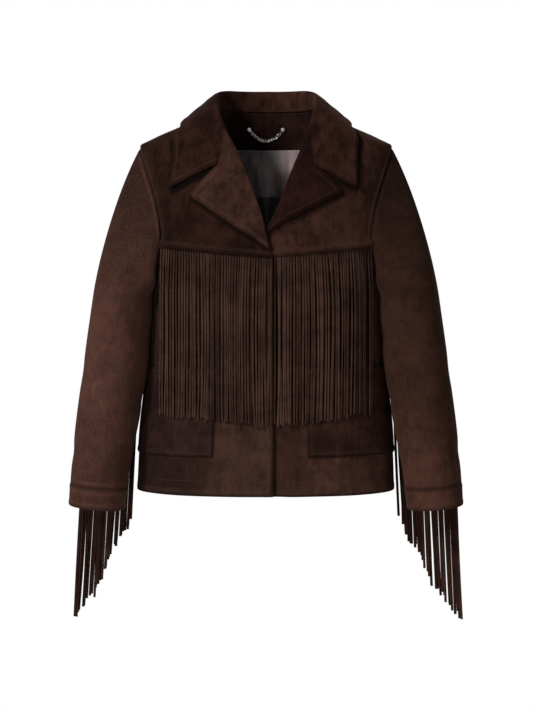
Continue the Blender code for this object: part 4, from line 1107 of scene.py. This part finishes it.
def make_sleeve(side, word):
    """A sleeve and its cuff. Gives the sleeve's surface, which its fringe hangs from."""
    as_tube = {"closed": True, "flip": side == RIGHT}
    points = set_back(sleeve_grid(side, 42, 98), edges="t")
    shell("sleeve_" + word, points, SUEDE, ["yoke_" + word, "back"],
          lift=-0.0006 * bump(lengths(points, 0), 0.0, 0.0015), seam=edge_distance(points, "bt"),
          **as_tube)
    heights = np.linspace(CUFF_SEAM, CUFF_END, 26)
    cuff = set_back(sleeve_point(side, heights[:, None], SLEEVE_TURNS, CUFF_PROUD), edges="b")
    edge = edge_distance(cuff, "bt")
    cloth = shell("cuff_" + word, cuff, SUEDE, ["sleeve_" + word], DRESS["sleeve_" + word],
                  lift=turned_edge(edge, CUFF_EDGE, 0.0004), seam=edge, **as_tube)
    sew("cuff_stitches_" + word, cloth, ("t", CUFF_EDGE), ("b", 0.0035))
    return tube_tree(points)


# ---- fringe ------------------------------------------------------------------------------
def yoke_seam_height(side, x):
    arm_angle, arm_height = armhole(side, YOKE_TURN)
    end = angle_at(CLOSING_X[side], YOKE_SEAM_CENTRE)
    height = YOKE_SEAM_CENTRE
    for _ in range(4):
        share = (angle_at(x, height) - arm_angle) / (end - arm_angle)
        height = mix(arm_height, YOKE_SEAM_CENTRE, share)
    return float(height)


def hang_fringe(name, strands, cut, drop, share, held_by, material, **sizes):
    """A fringe of strands, each a path with its normals, its widths and its tone value: random
    darkening and painted shade.
    """
    paths = path_object(name, [strand[:2] for strand in strands],
                        width=[width for _, _, width, _ in strands],
                        tone=[np.full(len(path), tone) for path, _, _, tone in strands])
    grown(name, paths, STRANDS, "Suede", DRESS[material], **sizes)
    SHEETS.append((name, cut, drop, cut * drop * share, [held_by]))


def make_front_fringe(side, word):
    t = np.linspace(0.0, 1.0, 24)
    start, end = FRINGE_SPAN[side]
    count = FRINGE_STRANDS[side]
    pitch = (end - start) / count
    strands = []
    drift = np.cumsum(RNG.normal(0.0, 0.0008, count))
    drift = drift - np.linspace(drift[0], drift[-1], count)
    for k in range(count):
        x = start + pitch * (k + 0.5)
        seam = yoke_seam_height(side, x)
        drop = FRINGE_DROP + RNG.uniform(-0.0040, 0.0040)
        sway = (drift[k] + RNG.normal(0.0, 0.0009)) * np.sin(math.pi * t ** 0.8 * 0.9)
        sway = sway + RNG.normal(0.0, 0.0006) * np.sin(t * RNG.uniform(5.0, 9.0) + k) * t
        place = np.clip(x + sway + RNG.normal(0.0, 0.0007) * t, start + 0.3 * pitch,
                        end - 0.3 * pitch)
        height = seam + 0.0036 - (drop + 0.0036) * t
        away = SUEDE + LAYER_GAP + 0.0008 + (0.0026 + 0.0014 * (k % 2)) * ease(t, 0.02, 0.3)
        away = away + RNG.uniform(0.0, 0.0010) * np.sin(math.pi * t) + 0.0008 * ease(t, 0.5, 1.0)
        lean = body_normal(angle_at(place, height), height)
        twist = RNG.normal(0.0, 0.30) * ease(t, 0.05, 0.6) + RNG.normal(0.0, 0.15) * t
        across = unit(np.cross(lean, UPWARDS))
        # Each strand's tone value: a random darkening, plus its side's painted light or shade.
        strands.append((
            front_point(place, height, away, side),
            unit(lean * np.cos(twist)[:, None] + across * np.sin(twist)[:, None]),
            pitch * RNG.uniform(0.62, 0.88) * (1.0 + 0.05 * np.sin(9.0 * t + k)),
            RNG.choice((0.0, 0.05, 0.15, 0.30, 0.50)) + FRINGE_SIDE_SHADE[side]))
    hang_fringe("fringe_front_" + word, strands, end - start, FRINGE_DROP, 0.8, "front_" + word,
                "fringe_front")


def make_arm_fringe(side, word, sleeve):
    t = np.linspace(0.0, 1.0, 20)
    start, end = ARM_SEAM[0][0], ARM_SEAM[0][-1]
    pitch = (end - start) / ARM_FRINGE_STRANDS
    strands = []
    for k in range(ARM_FRINGE_STRANDS):
        x = start + pitch * (k + 0.5)
        parted = (x - PARTING[side]) / 0.0030
        x_hang = x + 0.0021 * math.tanh(parted) * math.exp(-(0.28 * parted) ** 2)
        seam = float(smooth(ARM_SEAM[0], ARM_SEAM[1], x))
        reach = ARM_FRINGE_REACH[side] * (x - start) / (end - start)
        behind = Vector((side * (x + reach), 0.3, seam - ARM_FRINGE_STRIP))
        place = sleeve.ray_cast(behind, Vector((0.0, -1.0, 0.0)))[0]
        root = np.array(place) + (0.0, 0.0016 + 0.0014 * (k % 2), ARM_FRINGE_STRIP)
        drop = ARM_FRINGE_DROP + RNG.uniform(-0.007, 0.007)
        splay = ARM_FRINGE_SPLAY[side] + RNG.normal(0.0, 0.0040)
        aside = (drop * splay + x_hang - x + RNG.normal(0.0, 0.0004)) * t
        aside = aside + RNG.normal(0.0, 0.0007) * np.sin(4.0 * t + k) * t
        back = 0.0030 * np.sin(math.pi * t) + RNG.uniform(0.001, 0.003) * t
        turn = RNG.normal(0.0, 0.25) * t
        strands.append((root + np.stack([side * aside, back, -drop * t], -1),
                        np.stack([np.sin(turn), np.cos(turn), 0.0 * t], -1),
                        pitch * RNG.uniform(1.30, 1.65) * np.ones(len(t)),
                        RNG.choice((0.0, 0.1, 0.25, 0.45))))
    cut = float(sum(width[0] for _, _, width, _ in strands))    # strands lie half over each other
    hang_fringe("fringe_sleeve_" + word, strands, cut, ARM_FRINGE_DROP, 1.0, "sleeve_" + word,
                "fringe_sleeve", Thickness=0.28)


# ---- inside of the back ------------------------------------------------------------------
def facing_bottom(angle):
    return mix(FACING_DEPTH_SIDE, FACING_DEPTH_CENTRE, np.sin(np.radians(angle - 90.0)))


def make_inside():
    angle = np.linspace(96.0, 264.0, 120)
    height = mix(facing_bottom(angle), -0.0014, np.linspace(0.0, 1.0, 40)[:, None])
    points = body_point(angle, height, -INSIDE_DEPTH)
    shell("back_neck_facing", points, LINING_WALL, ["back"],
          lift=LINING_WALL * ease(edge_distance(points, "t"), -0.002, 0.006),
          seam=edge_distance(points, "b"))
    shell("back_lining", lining_grid(130, 130), LINING_WALL, ["back_neck_facing"], SATIN)
    x = np.linspace(LABEL_HALF_WIDTH, -LABEL_HALF_WIDTH, 40)
    height = np.linspace(LABEL_BOTTOM, LABEL_TOP, 24)[:, None] + 0.0 * x
    points = body_point(180.0 - angle_at(x, height), height, -(INSIDE_DEPTH + 0.0010))
    points[..., 1] -= lining_folds(points)
    shell("label", points, LABEL_WALL, ["back_lining"], BLACK)


def lining_folds(points):
    """How far the lining's soft folds stand into the jacket."""
    x, total = points[..., 0], 0.0
    for place, deep, wide, lean in LINING_FOLDS:
        total = total + deep * bump(x + lean * (points[..., 2] + 0.1), place, wide)
    return total


def lining_grid(rows, columns):
    """The lining, hanging in soft folds from the facing."""
    body = back_grid(rows, columns, -INSIDE_DEPTH, inset=3.0, low=1, high=18)
    body = body[body[:, 0, 2] < -0.075]
    angle = mix(103.0, 257.0, np.linspace(0.0, 1.0, columns)[None, :])
    top = body_point(angle, facing_bottom(angle) - 0.0008, -INSIDE_DEPTH)
    steps = np.linspace(0.0, 1.0, 16)[1:, None, None]
    points = np.concatenate([body, mix(body[-1:], top, steps)])
    below = ease(lengths(points, 0)[-1:] - lengths(points, 0), 0.004, 0.060)
    pucker = 0.0012 * np.sin(points[..., 0] / 0.0022) * bump(1.0 - below, 0.75, 0.22)
    return points - grid_normals(points) * (lining_folds(points) * below + pucker)[..., None]


def make_chain():
    t = np.linspace(-1.0, 1.0, 40)
    height = STUD_HEIGHT - LINK_DROP - (CHAIN_SAG - LINK_DROP) * (1.0 - t**2)
    angle = 180.0 - angle_at(STUD_X * t, height)
    normal = body_normal(angle, height)
    line = body_surface(angle, height) - normal * (INSIDE_DEPTH + 0.0006 + 0.0030)
    grown("hanger_chain", path_object("hanger_chain", [(line, -normal)]), LINKS, "Metal", STEEL)


# ---- painted shade between the layers ----------------------------------------------------
def places(mesh):
    return np.array([vertex.co[:] for vertex in mesh.vertices])


def overshadowed(name, cover, reach):
    """How much of the light another piece keeps from each point of this one, down to a reach."""
    mesh, points = PIECES[cover].data, PIECES[name].data.vertices
    tree = BVHTree.FromPolygons(places(mesh).tolist(), [face.vertices[:] for face in mesh.polygons])
    gaps = [tree.find_nearest(point.co + TOWARDS_LIGHT, reach)[3] for point in points]
    gaps = np.array([reach if gap is None else gap for gap in gaps])
    return 1.0 - ease(gaps, 0.45 * reach, reach)


# Painted shadow: darken the yokes under the collar and the lapels, the lapels under the collar and
# the fronts behind their fringe, through each piece's shade values.
def paint_shade_between_layers():
    for side, word in SIDES:
        yoke, lapel, front = ("%s_%s" % (kind, word) for kind in ("yoke", "lapel", "front"))
        lit = 1.0 - 0.97 * overshadowed(yoke, "collar", 0.0100)
        lit = lit * (1.0 - 0.70 * overshadowed(yoke, lapel, 0.0062))
        add_values(PIECES[yoke].data, "shade", 1.0 - lit)
        add_values(PIECES[lapel].data, "shade", 0.5 * overshadowed(lapel, "collar", 0.0040))
        mesh = PIECES[front].data
        x, _, height = places(mesh).T
        start, end = FRINGE_SPAN[side]
        behind = ease(x, start - 0.001, start + 0.002) * (1.0 - ease(x, end - 0.002, end + 0.001))
        tips = YOKE_SEAM_CENTRE - FRINGE_DROP
        add_values(mesh, "shade", 0.8 * behind * ease(height, tips + 0.004, tips + 0.016))
    # Painted light: the inside of the collar's stand is made lighter through a negative shade
    # value.
    mesh = PIECES["collar"].data
    x, y, _ = places(mesh).T
    add_values(mesh, "shade", np.where((y > 0.02) & (np.hypot(x, y) < 0.079), -0.35, 0.0))


STITCHES, LINKS, STRANDS = stitch_tree(), link_tree(), strand_tree()
make_back()
for make in (make_front, make_yoke, make_pocket, make_lapel):
    for side, word in SIDES:
        make(side, word)
make_collar()
SLEEVES = [make_sleeve(side, word) for side, word in SIDES]
for side, word in SIDES:
    make_front_fringe(side, word)
for (side, word), sleeve in zip(SIDES, SLEEVES):
    make_arm_fringe(side, word, sleeve)
make_inside()
make_chain()
paint_shade_between_layers()


# ---- what each piece stands for ----------------------------------------------------------
for name, piece in PIECES.items():
    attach(piece, "root")
    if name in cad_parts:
        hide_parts(name)
for name, width, length, area, held_by in SHEETS:
    min(area, width * length)
for name in ("chain_stud_left", "chain_stud_right"):
    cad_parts[name].material_slots[0].material = STEEL


# ---- camera, light and stage -------------------------------------------------------------
METRES_PER_PIXEL, IMAGE_ROWS = 0.00164, 710
DISTANCE, CAMERA_X, CAMERA_HEIGHT, AIM_HEIGHT = 2.9, 0.0008, -0.2908, -0.404
SENSOR = 36.0
WORLD_FLOOR, WORLD_SHARE, WORLD_SEEN = 0.16, 0.84, 0.60     # brightness of the white surroundings
FLOOR_HEIGHT, FLOOR_RADIUS = -1.35, 1.4

eye = add_object("camera", bpy.data.cameras.new("camera"))
eye.data.sensor_width = eye.data.sensor_height = SENSOR
eye.data.lens = SENSOR * DISTANCE / (IMAGE_ROWS * METRES_PER_PIXEL)
eye.location = (CAMERA_X, -DISTANCE, CAMERA_HEIGHT)
fall = math.atan((CAMERA_HEIGHT - AIM_HEIGHT) / DISTANCE)
eye.rotation_euler = (math.radians(90.0) - fall, 0.0, 0.0)
bpy.context.scene.camera = eye

# light, where it stands, the height it is aimed at, its size and its power
for name, place, aim, size, power in (
        ("key", (-1.5, -1.7, 1.1), -0.35, 0.6, 74.0), ("low", (-0.9, -2.4, -0.9), -0.5, 1.2, 16.0),
        ("fill", (1.9, -2.0, 0.0), -0.4, 1.4, 9.0), ("behind", (0.6, 2.6, -0.1), -0.4, 1.6, 26.0)):
    light = add_object(name, bpy.data.lights.new(name, "AREA"))
    light.data.shape, light.data.size, light.data.energy = "DISK", size, power
    light.location = place
    towards = Vector((0.0, 0.0, aim)) - Vector(place)
    light.rotation_euler = towards.to_track_quat("-Z", "Y").to_euler()
    light.visible_camera = False

world = bpy.data.worlds.new("studio")
bpy.context.scene.world = world
world.use_nodes = True
sky = Socket(world.node_tree)
seen = sky.math("MAXIMUM", sky.node("ShaderNodeLightPath"),
                sky.node("ShaderNodeLightPath", out=3) * WORLD_SEEN)
(seen * WORLD_SHARE + WORLD_FLOOR).to(world.node_tree.nodes["Background"], "Strength")
world.node_tree.nodes["Background"].inputs["Color"].default_value = (1.0, 1.0, 1.0, 1.0)
bpy.context.scene.view_settings.view_transform = "Standard"

bpy.ops.mesh.primitive_circle_add(vertices=96, radius=FLOOR_RADIUS, fill_type="NGON",
                                  location=(0.0, 0.0, FLOOR_HEIGHT))
floor = bpy.context.object
floor.name = "floor"
floor.data.materials.append(new_material("pale_floor", 0.9, Base_Color=(0.85, 0.85, 0.85, 1.0))[0])
